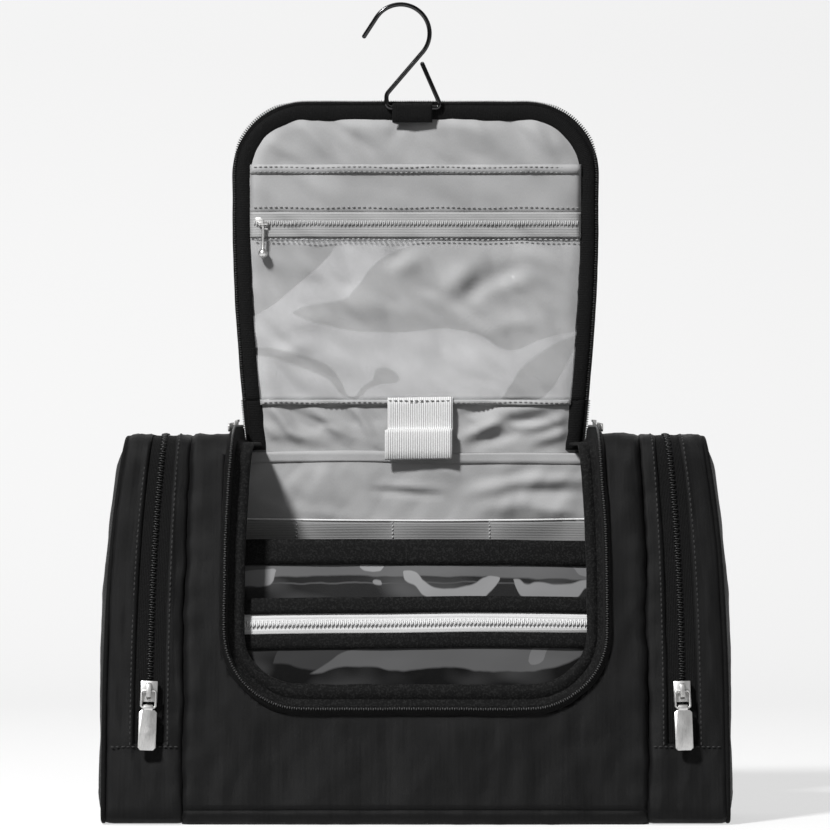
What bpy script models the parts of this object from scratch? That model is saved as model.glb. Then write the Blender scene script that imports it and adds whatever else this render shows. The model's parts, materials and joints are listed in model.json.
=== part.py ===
"""Hanging toiletry bag standing open: a zipped body with two end pockets, clear pockets inside,
and a lid that folds up on two fold lines and hangs from a steel wire hook.

X runs to the right, Y into the bag from its front and Z up. The origin is the middle of the base.
Lengths are in metres. The body's skin is laid out flat as (x, s, n): s walks forward over the top
from the lid's hinge, down the front, under the base and up the back, and n stands out of the skin.
On the lid, v is the height above the hinge while the lid stands open.
"""

import math

import bmesh
import bpy
from mathutils import Matrix, Vector

# Body
BODY_HEIGHT = 0.1945
BASE_DEPTH = 0.084
TOP_DEPTH = 0.049
END_LEAN = 0.011
END_LEAN_POWER = 3.4
SEAM_MARGIN = 0.0222
END_POCKET_WIDTH = 0.0421
FRONT_TOP_RADIUS = 0.015
BACK_TOP_RADIUS = 0.0035
BASE_RADIUS = 0.006
PIPING_RADIUS = 0.0011
FABRIC = 0.001
GAP = 0.0003
ARC_CREASE = 0.0035
RUN_CREASE = 0.032

# Lid
LID_LENGTH = 0.1765
LID_HALF_WIDTH = 0.0943
LID_NARROWING = 0.0073
LID_WIDEST = 0.12
LID_CORNER = 0.0375
LID_CLOSED_GAP = 0.0015
HINGE_INSET = 0.006
HINGE_DROP = 0.0045
LINING_OFFSET = 0.004
FOLD_OFFSET = 0.0025
FOLD_CLEARANCE = 0.0008
LINING = 0.0006
POCKET_CLOTH = 0.0006
BINDING = 0.0012
BINDING_WIDTH = 0.0075
TAPE_INSET = 0.0023
EDGE_TAPE_WIDTH = 0.0015
EDGE_COIL_INSET = 0.0011
SLIP_POCKET_LOW = 0.1218
SLIP_POCKET_TOP = 0.1438
LID_ZIP_LOW = 0.1062
LID_ZIP_TOP = 0.1195
LID_COIL_V = 0.1136
WINDOW_LOW = 0.0227
KEEPER_HALF_WIDTH = 0.01675
KEEPER_X = 0.0023
KEEPER_LOW = 0.001
KEEPER_TOP = 0.0238

# Zips
COIL_RADIUS = 0.0009
END_COIL_RADIUS = 0.0012
LIP_GROW = 0.0018
LIP_THICKNESS = 0.0008
LIP_HEIGHT = 0.0035
LIP_ROOT = 0.0015
END_ZIP_OFFSET = 0.0175
END_ZIP_WIDTH = 0.014
END_ZIP_BOTTOM = 0.040
END_ZIP_START = 0.012
COIL_MARGIN = 0.002

# Sliders and pulls
SLIDER_LENGTH = 0.0105
SLIDER_HALF_WIDTH = 0.0042
CHANNEL_HALF_WIDTH = 0.0027
SLIDER_ROOF = 0.0014
CROWN_HEIGHT = 0.0050
CROWN_HALF_WIDTH = 0.0011
CROWN_SHARES = (0.8, 0.6)
CROWN_WALL = 0.0007
CROWN_WALL_LEAST = 0.0002
EYE_SHARES = (0.5, 0.4)
SET_IN = 0.0004
EYE_CLEARANCE = 0.0002
PULL_AXIS_HEIGHT = 0.0030
SMALL_SLIDER = 0.75
MAIN_SLIDER = 0.8
MAIN_FLANGE = 0.0005
LINK_WIRE = 0.0007
LINK_HALF_WIDTH = 0.0036
LINK_LENGTH = 0.0085
PULL_HALF_WIDTH = 0.0044
PULL_LENGTH = 0.0215
PULL_THICKNESS = 0.0014
PULL_CUT = 0.0012
KNUCKLE_WALL = 0.0006
MAIN_PULL_LENGTH = 0.018
MAIN_PULL_HALF_WIDTH = 0.0021
MAIN_PULL_THICKNESS = 0.001
MAIN_PULL_CUT = 0.001
MAIN_PULL_RIM = 0.0007
MAIN_PULL_END_BAR = 0.00045
MAIN_PULL_EYE = 0.0042
CHARM_RING = 0.0015
CHARM_WIRE = 0.00035
CHARM_ROD = 0.0007
CHARM_BALL = 0.0025
CHARM_LENGTH = 0.0155
END_SLIDER_Z = 0.0655
END_SLIDER_TRAVEL = 0.085
MAIN_SLIDER_S = 0.009
MAIN_SLIDER_TRAVEL = 0.026
LID_SLIDER_X = -0.0785
POUCH_SLIDER_X = 0.104

# Inside pockets
BACK_POCKET_INSET = 0.0053
BACK_POCKET_TOP = 0.186
BACK_POCKET_LOW = 0.016
ELASTIC_LOW = 0.1395
ELASTIC_TOP = 0.152
REAR_POUCH_DEPTH = 0.024
FRONT_POUCH_DEPTH = 0.012
POUCH_FLOOR = 0.006
POUCH_INSET = 0.0035
REAR_BAND_LOW = 0.1285
REAR_BAND_TOP = 0.141
UPPER_BAND_TOP = 0.1125
POUCH_ZIP_TOP = 0.1045
POUCH_ZIP_LOW = 0.0955
LOWER_BAND_LOW = 0.0875
BAND = 0.001
VINYL = 0.0005

# Hook
WIRE_RADIUS = 0.00115
CROOK_RADIUS = 0.0149
CROOK_X = -0.0077
CROOK_HEIGHT = 0.0384
CROOK_START = 147
CROOK_END = -40
TIP_LENGTH = 0.0117
BAR_DROP = 0.0034
BAR_LEFT = -0.0150
BAR_RIGHT = 0.0134
SHOULDER = 0.0070
FREE_END = (0.0034, 0.0228)
BEND_RADII = (0.004, 0.0025, 0.002)
LOOP_LEFT = -0.0120
LOOP_RIGHT = 0.0086
LOOP_TAIL = 0.0068
LOOP_CLEARANCE = 0.00035
WEBBING = 0.0008

# Worked out from the dimensions above
SEAM_HALF_WIDTH = LID_HALF_WIDTH + SEAM_MARGIN
END_HALF_WIDTH = SEAM_HALF_WIDTH + END_POCKET_WIDTH
END_ZIP_X = SEAM_HALF_WIDTH + END_ZIP_OFFSET
SLOPE = math.atan2(BASE_DEPTH - TOP_DEPTH, BODY_HEIGHT)
BACK_Y = BASE_DEPTH / 2
HINGE_Y = BACK_Y - HINGE_INSET
HINGE_Z = BODY_HEIGHT - HINGE_DROP
LINING_Y = HINGE_Y + LINING_OFFSET
SHELL_Y = LINING_Y + LINING + GAP
LAYER_Y = LINING_Y - GAP
BINDING_Y = LAYER_Y - BINDING
COIL_Y = LAYER_Y - POCKET_CLOTH - GAP - COIL_RADIUS
FOLD_Z = HINGE_Z + FOLD_OFFSET
FOLD_Y_OPEN = HINGE_Y + FOLD_OFFSET
FOLD_V = HINGE_Y + BACK_Y - FOLD_Z * math.tan(SLOPE) - (LINING_OFFSET - FOLD_OFFSET) / math.cos(SLOPE)
COIL_GROW = LIP_GROW + LIP_THICKNESS / 2
NOTCH_GROW = LIP_GROW + LIP_THICKNESS + GAP
STEADY_HALF_WIDTH = LID_HALF_WIDTH + NOTCH_GROW + FABRIC
POUCH_HALF_WIDTH = SEAM_HALF_WIDTH - POUCH_INSET
POCKET_GROW = -TAPE_INSET - BINDING_WIDTH - GAP
BAR_Z = HINGE_Z + LID_LENGTH - BAR_DROP
LOOP_OUTER = WIRE_RADIUS + LOOP_CLEARANCE + WEBBING
BAR_Y = BINDING_Y - GAP - LOOP_OUTER

SIDE_ON = Matrix(((0, 0, 1), (1, 0, 0), (0, 1, 0))).to_4x4()
UPRIGHT = Matrix(((1, 0, 0), (0, 0, 1), (0, 1, 0))).to_4x4()

MATERIALS = {
    "black_nylon": ((0.012, 0.012, 0.013), 0.62, 0.0),
    "black_trim": ((0.008, 0.008, 0.008), 0.8, 0.0),
    "black_coil": ((0.015, 0.015, 0.016), 0.4, 0.0),
    "grey_lining": ((0.40, 0.40, 0.40), 0.7, 0.0),
    "grey_zip": ((0.55, 0.55, 0.55), 0.5, 0.0),
    "clear_vinyl": ((0.55, 0.55, 0.56), 0.1, 0.0),
    "brushed_steel": ((0.6, 0.6, 0.59), 0.3, 1.0),
    "dark_steel": ((0.09, 0.09, 0.09), 0.2, 1.0),
}


# The body's section and skin

def turn(first, second):
    """Angle from one direction of the section to the next, walking round it anticlockwise."""
    return math.atan2(first.x * second.y - first.y * second.x, first.dot(second)) % math.tau


class Section:
    """The body's outline in the YZ plane: four straight runs joined by four arcs."""

    def __init__(self):
        corners = [
            (Vector((BACK_Y, BODY_HEIGHT)), BACK_TOP_RADIUS),
            (Vector((BACK_Y - TOP_DEPTH, BODY_HEIGHT)), FRONT_TOP_RADIUS),
            (Vector((-BACK_Y, 0)), BASE_RADIUS),
            (Vector((BACK_Y, 0)), BASE_RADIUS),
        ]
        runs = [(corners[(i + 1) % 4][0] - corners[i][0]).normalized() for i in range(4)]
        sweeps = [turn(runs[i - 1], runs[i]) for i in range(4)]
        setbacks = [corners[i][1] * math.tan(sweeps[i] / 2) for i in range(4)]
        self.pieces = []
        walked = 0.0
        for i in range(4):
            corner, following = corners[i][0], (i + 1) % 4
            start = corner + runs[i] * setbacks[i]
            length = (corners[following][0] - corner).length - setbacks[i] - setbacks[following]
            radius = corners[following][1]
            self.pieces.append((walked, length, start, runs[i], 0.0))
            walked += length
            bend = radius * sweeps[following]
            self.pieces.append((walked, bend, start + runs[i] * length, runs[i], radius))
            walked += bend
        self.total = walked
        self.origin = BACK_Y - setbacks[0] - HINGE_Y

    def at(self, s):
        """Point and outward normal in the YZ plane at a distance s forward of the hinge."""
        walked = (s + self.origin) % self.total
        for begin, length, start, along, radius in self.pieces:
            if walked <= begin + length + 1e-9:
                break
        outward = Vector((along.y, -along.x))
        if radius == 0:
            return start + along * (walked - begin), outward
        turned = Matrix.Rotation((walked - begin) / radius, 2) @ outward
        return start - outward * radius + turned * radius, turned

    def run(self, index):
        """First and last s of straight run 0 top, 1 front, 2 base or 3 back."""
        begin, length = self.pieces[2 * index][:2]
        return begin - self.origin, begin + length - self.origin

    def stations(self):
        """Where a sheet is creased to follow the arcs and the lean of the ends."""
        found = []
        for begin, length, _, _, radius in self.pieces:
            parts = max(3, round(length / ARC_CREASE)) if radius else max(1, round(length / RUN_CREASE))
            found += [begin - self.origin + length * step / parts for step in range(parts)]
        return [station + lap * self.total for lap in (-1, 0, 1) for station in found]


def end_half_width(z):
    share = min(max(z / BODY_HEIGHT, 0.0), 1.0)
    return END_HALF_WIDTH - END_LEAN * share ** END_LEAN_POWER


def lean(x, z):
    """Pull what lies beyond the opening inward with height, as the ends lean in."""
    beyond = abs(x) - STEADY_HALF_WIDTH
    if beyond <= 0:
        return x
    squeeze = (end_half_width(z) - STEADY_HALF_WIDTH) / (END_HALF_WIDTH - STEADY_HALF_WIDTH)
    return math.copysign(STEADY_HALF_WIDTH + beyond * squeeze, x)


def on_skin(x, s, n=0.0):
    point, outward = section.at(s)
    y, z = point + outward * n
    return Vector((lean(x, z), y, z))


def front_s(z, n=0.0):
    """The s at which the front, moved out by n, is at height z."""
    first = section.run(1)[0]
    start = section.at(first)[0].y
    return first + (start + n * math.sin(SLOPE) - z) / math.cos(SLOPE)


# Outlines, shared by the lid and the opening that it closes

def half_width(v):
    share = min(max(v / LID_WIDEST, 0.0), 1.0)
    return LID_HALF_WIDTH - LID_NARROWING * (1 - math.sin(share * math.pi / 2))


def side_points(first, last, grow, parts):
    values = [first + (last - first) * step / parts for step in range(parts + 1)]
    return [(half_width(v) + grow, v) for v in values]


def mirrored(points):
    return [(-x, v) for x, v in reversed(points)]


def u_path(length, first, grow):
    """Down the right side, round both far corners and back up the left side, grown outward."""
    straight = length - LID_CORNER
    centre = LID_HALF_WIDTH - LID_CORNER
    radius = LID_CORNER + grow
    angles = [math.radians(90) * step / 7 for step in range(1, 8)]
    arc = [(centre + radius * math.cos(a), straight + radius * math.sin(a)) for a in angles]
    right = side_points(first, straight, grow, 4) + arc
    return right + mirrored(right)


def u_ribbon(length, first, outer, inner):
    return u_path(length, first, outer) + u_path(length, first, inner)[::-1]


def side_ribbon(first, last, outer, inner):
    return side_points(first, last, outer, 1) + side_points(first, last, inner, 1)[::-1]


def corner_half_width(v, grow):
    """Half the lid's width, grown outward, at a height that may reach into its far corners."""
    into_corner = v - (LID_LENGTH - LID_CORNER)
    if into_corner <= 0:
        return half_width(v) + grow
    return LID_HALF_WIDTH - LID_CORNER + math.sqrt((LID_CORNER + grow) ** 2 - into_corner ** 2)


def lid_band(first, last, grow):
    """Outline from one side of the lid to the other, between two heights."""
    right = [(corner_half_width(v, grow), v) for v in (first, (first + last) / 2, last)]
    return right + mirrored(right)


def rectangle(left, right, low, high):
    return [(right, low), (right, high), (left, high), (left, low)]


# Building solids

def flat_face(loops):
    """A face in the XY plane; the first loop is its outline and any others are holes."""
    bm = bmesh.new()
    for loop in loops:
        corners = [bm.verts.new((x, y, 0)) for x, y in loop]
        for corner, following in zip(corners, corners[1:] + corners[:1]):
            bm.edges.new((corner, following))
    if len(loops) == 1:
        bm.faces.new(bm.verts)
    else:
        bmesh.ops.triangle_fill(bm, use_beauty=True, use_dissolve=False, edges=bm.edges[:])
    return bm


def crease(bm, stations):
    for station in stations:
        whole = bm.verts[:] + bm.edges[:] + bm.faces[:]
        bmesh.ops.bisect_plane(bm, geom=whole, dist=1e-6, plane_co=(0, station, 0), plane_no=(0, 1, 0))


def thicken(bm, low, high):
    """Give a flat face thickness from low to high along Z."""
    bmesh.ops.translate(bm, verts=bm.verts, vec=(0, 0, low))
    made = bmesh.ops.extrude_face_region(bm, geom=bm.faces[:])["geom"]
    raised = [item for item in made if isinstance(item, bmesh.types.BMVert)]
    bmesh.ops.translate(bm, verts=raised, vec=(0, 0, high - low))
    return bm


def prism(loops, low, high, frame):
    bm = thicken(flat_face(loops), low, high)
    bmesh.ops.transform(bm, matrix=frame, verts=bm.verts)
    return bm


def add_object(name, data, material, place=Matrix()):
    obj = bpy.data.objects.new(name, data)
    if not data.materials:
        data.materials.append(bpy.data.materials[material])
    bpy.context.scene.collection.objects.link(obj)
    obj.matrix_world = place
    return obj


def finish(name, bm, material, place=Matrix()):
    bmesh.ops.recalc_face_normals(bm, faces=bm.faces)
    if bm.calc_volume(signed=True) < 0:
        bmesh.ops.reverse_faces(bm, faces=bm.faces)
    mesh = bpy.data.meshes.new(name)
    bm.to_mesh(mesh)
    bm.free()
    return add_object(name, mesh, material, place)


def skin_sheet(name, loops, low, high, material):
    """A sheet that follows the body's skin, between two heights out of it."""
    bm = flat_face(loops)
    crease(bm, section.stations())
    thicken(bm, low, high)
    for vert in bm.verts:
        vert.co = on_skin(*vert.co)
    return finish(name, bm, material)


def end_plate(name, side, x, thickness, inset, material):
    """An upright plate across the body that fits inside the skin and leans with the ends."""
    outline = []
    for s in section.stations()[: len(section.stations()) // 3]:
        point, outward = section.at(s)
        outline.append(tuple(point - outward * inset))
    bm = flat_face([outline])
    crease(bm, [BODY_HEIGHT * step / 9 for step in range(1, 9)])
    thicken(bm, x, x + thickness)
    for vert in bm.verts:
        y, z, across = vert.co
        vert.co = (side * lean(across, z), y, z)
    return finish(name, bm, material)


def lid_sheet(name, loops, near, far, material, parent):
    """A flat upright sheet between two depths, drawn in x and v."""
    bm = prism(loops, near, far, Matrix.Translation((0, 0, HINGE_Z)) @ UPRIGHT)
    return attach(finish(name, bm, material), parent)


def upright_sheet(name, loop, near, thickness, material):
    return finish(name, prism([loop], near, near + thickness, UPRIGHT), material)


def tube(name, points, radius, material, cyclic=False, resolution=1, place=Matrix()):
    curve = bpy.data.curves.new(name, "CURVE")
    curve.dimensions = "3D"
    curve.bevel_depth = radius
    curve.bevel_resolution = resolution
    curve.use_fill_caps = not cyclic
    spline = curve.splines.new("POLY")
    spline.points.add(len(points) - 1)
    for spot, point in zip(spline.points, points):
        spot.co = (*point, 1)
    spline.use_cyclic_u = cyclic
    return add_object(name, curve, material, place)


def attach(obj, parent):
    bpy.context.view_layer.update()
    obj.parent = parent
    obj.matrix_parent_inverse = parent.matrix_world.inverted()
    return obj


def pivot(name, place, parent=None):
    """An empty on a joint's axis, for the pieces that turn about it."""
    empty = bpy.data.objects.new(name, None)
    empty.empty_display_size = 0.01
    bpy.context.scene.collection.objects.link(empty)
    empty.location = place
    return attach(empty, parent) if parent else empty


def frame_of(along, outward, place):
    """Frame with its Y along the zip, its Z out of the zip's face and its X across."""
    across = along.cross(outward).normalized()
    squared = across.cross(along).normalized()
    return Matrix.Translation(place) @ Matrix((across, along, squared)).transposed().to_4x4()


def joined(first, second):
    """One mesh from two closed shapes that overlap."""
    kept = finish("joining_first", first, "brushed_steel")
    added = finish("joining_second", second, "brushed_steel")
    union = kept.modifiers.new("union", "BOOLEAN")
    union.operation = "UNION"
    union.solver = "EXACT"
    union.object = added
    bpy.context.view_layer.update()
    mesh = bpy.data.meshes.new_from_object(kept.evaluated_get(bpy.context.evaluated_depsgraph_get()))
    bpy.data.objects.remove(kept)
    bpy.data.objects.remove(added)
    return mesh


def circle_points(radius, count):
    angles = [math.tau * step / count for step in range(count)]
    return [(radius * math.cos(a), radius * math.sin(a)) for a in angles]


def rounded(points, radii):
    """Path through points with each inner corner replaced by an arc."""
    path = [Vector(points[0])]
    for before, corner, after, radius in zip(points, points[1:], points[2:], radii):
        corner = Vector(corner)
        back = (Vector(before) - corner).normalized()
        ahead = (Vector(after) - corner).normalized()
        angle = back.angle(ahead)
        reach = radius / math.tan(angle / 2)
        centre = corner + (back + ahead).normalized() * radius / math.sin(angle / 2)
        first = corner + back * reach - centre
        last = corner + ahead * reach - centre
        path += [centre + first.lerp(last, step / 4).normalized() * radius for step in range(5)]
    return path + [Vector(points[-1])]


# The body's fabric panels

def body_panels():
    back_seam = front_seam_start()
    front_end = section.run(1)[1]
    back_start = section.run(3)[0]
    notch = u_path(opening_length(), back_seam, NOTCH_GROW)
    half = SEAM_HALF_WIDTH
    front = [(half, back_seam), (half, front_end), (-half, front_end), (-half, back_seam)]
    skin_sheet("front_panel", [front + notch[::-1]], -FABRIC, 0, "black_nylon")
    base = rectangle(-half, half, front_end + GAP, back_start - GAP)
    skin_sheet("base_panel", [base], -FABRIC, 0, "black_nylon")
    back = rectangle(-half, half, back_start, back_seam + section.total - GAP)
    skin_sheet("back_panel", [back], -FABRIC, 0, "black_nylon")


def front_seam_start():
    """The s at which the front panel, wrapped over the top, meets the back panel's top edge."""
    back_first, back_last = section.run(3)
    top_of_back = section.at(back_last)[0].y
    return back_last - section.total - (top_of_back - HINGE_Z)


def opening_length():
    """The s of the opening's far edge, just past where the closed lid ends."""
    lid_front = LID_LENGTH - FOLD_V
    end_z = FOLD_Z + (LINING_OFFSET - FOLD_OFFSET) * math.sin(SLOPE) - lid_front * math.cos(SLOPE)
    return front_s(end_z) + LID_CLOSED_GAP


def end_pocket(name, side):
    """Gusset with its zip slot, outer panel, piping and the wall to the main compartment."""
    def turned(loop):
        return [(side * x, s) for x, s in loop]

    inner = SEAM_HALF_WIDTH + GAP
    outer = END_HALF_WIDTH - 2 * PIPING_RADIUS - 2 * GAP
    seam = sum(section.run(2)) / 2
    slot_half = END_ZIP_WIDTH / 2
    zip_end = front_s(END_ZIP_BOTTOM)
    gusset = rectangle(inner, outer, seam - section.total + GAP, seam)
    slot = rectangle(END_ZIP_X - slot_half, END_ZIP_X + slot_half, END_ZIP_START, zip_end)
    skin_sheet(f"end_gusset_{name}", [turned(gusset), turned(slot)], -FABRIC, 0, "black_nylon")
    tape = rectangle(END_ZIP_X - slot_half + GAP, END_ZIP_X + slot_half - GAP,
                     END_ZIP_START + GAP, zip_end - GAP)
    skin_sheet(f"end_zip_tape_{name}", [turned(tape)], -FABRIC, 0, "black_trim")
    first, last = END_ZIP_START + COIL_MARGIN, zip_end - COIL_MARGIN
    stops = [first] + [s for s in section.stations() if first < s < last] + [last]
    height = GAP + END_COIL_RADIUS
    coil = [on_skin(side * END_ZIP_X, s, height) for s in stops]
    tube(f"end_zip_coil_{name}", coil, END_COIL_RADIUS, "black_coil")
    ring_x = side * (END_HALF_WIDTH - PIPING_RADIUS)
    laps = section.stations()[: len(section.stations()) // 3]
    ring = [on_skin(ring_x, s, -PIPING_RADIUS - GAP) for s in laps]
    tube(f"piping_{name}", ring, PIPING_RADIUS, "black_trim", cyclic=True)
    inset = 2 * PIPING_RADIUS + 2 * GAP
    end_plate(f"end_panel_{name}", side, END_HALF_WIDTH - PIPING_RADIUS, FABRIC, inset, "black_nylon")
    end_plate(f"divider_{name}", side, SEAM_HALF_WIDTH - 2 * FABRIC, LINING, FABRIC + GAP, "grey_lining")


def opening_zip():
    """Upright lip of tape round the opening, with half of the lid's zip along its edge."""
    ribbon = u_ribbon(opening_length(), 0, LIP_GROW + LIP_THICKNESS, LIP_GROW)
    skin_sheet("opening_zip_tape", [ribbon], -LIP_ROOT, LIP_HEIGHT, "black_trim")
    path = u_path(opening_length(), 0, COIL_GROW)
    coil = []
    for (x, s), (next_x, next_s) in zip(path, path[1:]):
        coil.append((x, s))
        low, high = sorted((s, next_s))
        inside = [t for t in section.stations() if low + COIL_RADIUS < t < high - COIL_RADIUS]
        for t in sorted(inside, reverse=next_s < s):
            coil.append((x + (next_x - x) * (t - s) / (next_s - s), t))
    coil.append(path[-1])
    height = LIP_HEIGHT + GAP + COIL_RADIUS
    tube("opening_zip_coil", [on_skin(x, s, height) for x, s in coil], COIL_RADIUS, "black_coil")


# Inside the main compartment

def back_pockets():
    half = lean(SEAM_HALF_WIDTH - 2 * FABRIC, BODY_HEIGHT) - BACK_POCKET_INSET
    upright_sheet("back_lining", rectangle(-half, half, POUCH_FLOOR, HINGE_Z - 2 * GAP),
                  LINING_Y, LINING, "grey_lining")
    pocket_y = LINING_Y - 2 * GAP - POCKET_CLOTH
    upright_sheet("back_slip_pocket", rectangle(-half, half, BACK_POCKET_LOW, BACK_POCKET_TOP),
                  pocket_y, POCKET_CLOTH, "grey_lining")
    upright_sheet("back_elastic", rectangle(-half, half, ELASTIC_LOW, ELASTIC_TOP),
                  pocket_y - GAP - BAND, BAND, "grey_zip")


def pouch_strip(name, low, high, depth, thickness, material):
    """A strip across the bag on a plane that lies a given depth behind the front."""
    loop = rectangle(-POUCH_HALF_WIDTH, POUCH_HALF_WIDTH, front_s(high, -depth), front_s(low, -depth))
    return skin_sheet(name, [loop], -depth, thickness - depth, material)


def pouches():
    pouch_strip("rear_pouch_vinyl", POUCH_FLOOR, REAR_BAND_LOW - GAP, REAR_POUCH_DEPTH, VINYL, "clear_vinyl")
    pouch_strip("rear_pouch_band", REAR_BAND_LOW, REAR_BAND_TOP, REAR_POUCH_DEPTH, BAND, "black_trim")
    depth = FRONT_POUCH_DEPTH
    pouch_strip("front_pouch_upper_band", POUCH_ZIP_TOP + GAP, UPPER_BAND_TOP, depth, BAND, "black_trim")
    pouch_strip("front_pouch_zip_tape", POUCH_ZIP_LOW, POUCH_ZIP_TOP, depth, POCKET_CLOTH, "grey_zip")
    pouch_strip("front_pouch_lower_band", LOWER_BAND_LOW, POUCH_ZIP_LOW - GAP, depth, BAND, "black_trim")
    pouch_strip("front_pouch_vinyl", POUCH_FLOOR, LOWER_BAND_LOW - GAP, depth, VINYL, "clear_vinyl")
    reach = POUCH_HALF_WIDTH - COIL_MARGIN
    coil = [pouch_coil_point(-reach), pouch_coil_point(reach)]
    tube("front_pouch_zip_coil", coil, COIL_RADIUS, "grey_zip")
    out = Vector((0, -math.cos(SLOPE), math.sin(SLOPE)))
    place = pouch_coil_point(POUCH_SLIDER_X) + out * (COIL_RADIUS + GAP)
    mesh = slider_mesh(SMALL_SLIDER, 1.5 * COIL_RADIUS)
    add_object("front_pouch_slider", mesh, "brushed_steel", frame_of(Vector((-1, 0, 0)), out, place))


def pouch_coil_point(x):
    n = POCKET_CLOTH - FRONT_POUCH_DEPTH + GAP + COIL_RADIUS
    return on_skin(x, front_s((POUCH_ZIP_LOW + POUCH_ZIP_TOP) / 2, n), n)


# The lid, in two panels that fold where the closed bag's top meets its front

def lid_lower(parent):
    first, last = GAP, FOLD_V - FOLD_CLEARANCE
    tape_out, tape_in = -TAPE_INSET, -TAPE_INSET - EDGE_TAPE_WIDTH
    trim_in = -TAPE_INSET - BINDING_WIDTH
    lid_sheet("lid_top_shell", [lid_band(first, last, tape_out)], SHELL_Y, SHELL_Y + FABRIC,
              "black_nylon", parent)
    lid_sheet("lid_top_lining", [lid_band(first, last, tape_in - GAP)], LINING_Y, LINING_Y + LINING,
              "grey_lining", parent)
    for name, side in (("left", -1), ("right", 1)):
        strip = [(side * x, v) for x, v in side_ribbon(first, last, tape_out, trim_in)]
        lid_sheet(f"lid_top_binding_{name}", [strip], BINDING_Y, LAYER_Y, "black_trim", parent)
        tape = [(side * x, v) for x, v in side_ribbon(first, last, tape_out, tape_in)]
        lid_sheet(f"lid_top_zip_{name}", [tape], LINING_Y, LINING_Y + LINING, "black_trim", parent)
    lid_sheet("lid_top_window", [lid_band(WINDOW_LOW, last, POCKET_GROW)],
              LAYER_Y - VINYL, LAYER_Y, "clear_vinyl", parent)
    keeper = rectangle(KEEPER_X - KEEPER_HALF_WIDTH, KEEPER_X + KEEPER_HALF_WIDTH,
                       KEEPER_LOW, KEEPER_TOP)
    keeper_y = LAYER_Y - VINYL - GAP
    lid_sheet("keeper_tab", [keeper], keeper_y - BINDING, keeper_y, "grey_zip", parent)


def lid_upper(parent):
    first = FOLD_V + FOLD_CLEARANCE
    tape_out, tape_in = -TAPE_INSET, -TAPE_INSET - EDGE_TAPE_WIDTH
    trim_in = -TAPE_INSET - BINDING_WIDTH
    lid_sheet("lid_shell", [u_path(LID_LENGTH, first, tape_out)], SHELL_Y, SHELL_Y + FABRIC,
              "black_nylon", parent)
    lid_sheet("lid_lining", [u_path(LID_LENGTH, first, tape_in - GAP)], LINING_Y, LINING_Y + LINING,
              "grey_lining", parent)
    lid_sheet("lid_binding", [u_ribbon(LID_LENGTH, first, tape_out, trim_in)], BINDING_Y, LAYER_Y,
              "black_trim", parent)
    lid_sheet("lid_zip_tape", [u_ribbon(LID_LENGTH, first, tape_out, tape_in)],
              LINING_Y, LINING_Y + LINING, "black_trim", parent)
    coil_y = LINING_Y + LINING / 2
    edge = [Vector((x, coil_y, HINGE_Z + v)) for x, v in u_path(LID_LENGTH, first, -EDGE_COIL_INSET)]
    attach(tube("lid_zip_coil", edge, COIL_RADIUS, "black_coil"), parent)
    lid_sheet("lid_window", [lid_band(first, LID_ZIP_LOW - GAP, POCKET_GROW)],
              LAYER_Y - VINYL, LAYER_Y, "clear_vinyl", parent)
    lid_sheet("lid_pocket_zip_tape", [lid_band(LID_ZIP_LOW, LID_ZIP_TOP, POCKET_GROW)],
              LAYER_Y - POCKET_CLOTH, LAYER_Y, "grey_zip", parent)
    lid_sheet("lid_slip_pocket", [lid_band(SLIP_POCKET_LOW, SLIP_POCKET_TOP, POCKET_GROW)],
              LAYER_Y - POCKET_CLOTH, LAYER_Y, "grey_lining", parent)
    reach = half_width(LID_COIL_V) + POCKET_GROW - COIL_MARGIN
    coil_z = HINGE_Z + LID_COIL_V
    coil = [Vector((-reach, COIL_Y, coil_z)), Vector((reach, COIL_Y, coil_z))]
    attach(tube("lid_pocket_zip_coil", coil, COIL_RADIUS, "grey_zip"), parent)


def lid_pocket_slider(parent):
    """Small slider at the left of the lid's zip, with a ball drop hung on its crown."""
    out = Vector((0, -1, 0))
    place = Vector((LID_SLIDER_X, COIL_Y - COIL_RADIUS - GAP, HINGE_Z + LID_COIL_V))
    mesh = slider_mesh(SMALL_SLIDER, 1.5 * COIL_RADIUS)
    slider = add_object("lid_pocket_slider", mesh, "brushed_steel", frame_of(Vector((1, 0, 0)), out, place))
    attach(slider, parent)
    crown_bar = SMALL_SLIDER * CROWN_HEIGHT - crown_wall(SMALL_SLIDER) / 2
    axis = place + out * crown_bar
    charm = add_object("lid_pocket_charm", charm_mesh(), "brushed_steel", Matrix.Translation(axis))
    attach(charm, slider)


def charm_mesh():
    """A ring round the crown, a rod and a ball, hanging along -Z from the ring's centre."""
    ring = bmesh.new()
    wire = bmesh.ops.create_circle(ring, segments=6, radius=CHARM_WIRE,
                                   matrix=Matrix.Translation((0, CHARM_RING, 0)))
    bmesh.ops.spin(ring, geom=wire["verts"] + ring.edges[:], cent=(0, 0, 0), axis=(1, 0, 0),
                   angle=math.tau, steps=12, use_merge=True)
    drop = bmesh.new()
    arc = [math.radians(150 - 30 * step) for step in range(5)]
    ball = [(CHARM_BALL * math.sin(a), -CHARM_LENGTH - CHARM_BALL * math.cos(a)) for a in arc]
    bottom = (0, -CHARM_LENGTH - CHARM_BALL)
    top = -CHARM_RING
    profile = [(0, top), (CHARM_ROD, top)] + [(CHARM_ROD, ball[0][1])] + ball + [bottom]
    verts = [drop.verts.new((r, 0, z)) for r, z in profile]
    edges = [drop.edges.new(pair) for pair in zip(verts, verts[1:])]
    bmesh.ops.spin(drop, geom=verts + edges, cent=(0, 0, 0), axis=(0, 0, 1), angle=math.tau,
                   steps=10, use_merge=True)
    bmesh.ops.remove_doubles(drop, verts=drop.verts, dist=1e-6)
    return joined(ring, drop)


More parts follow.
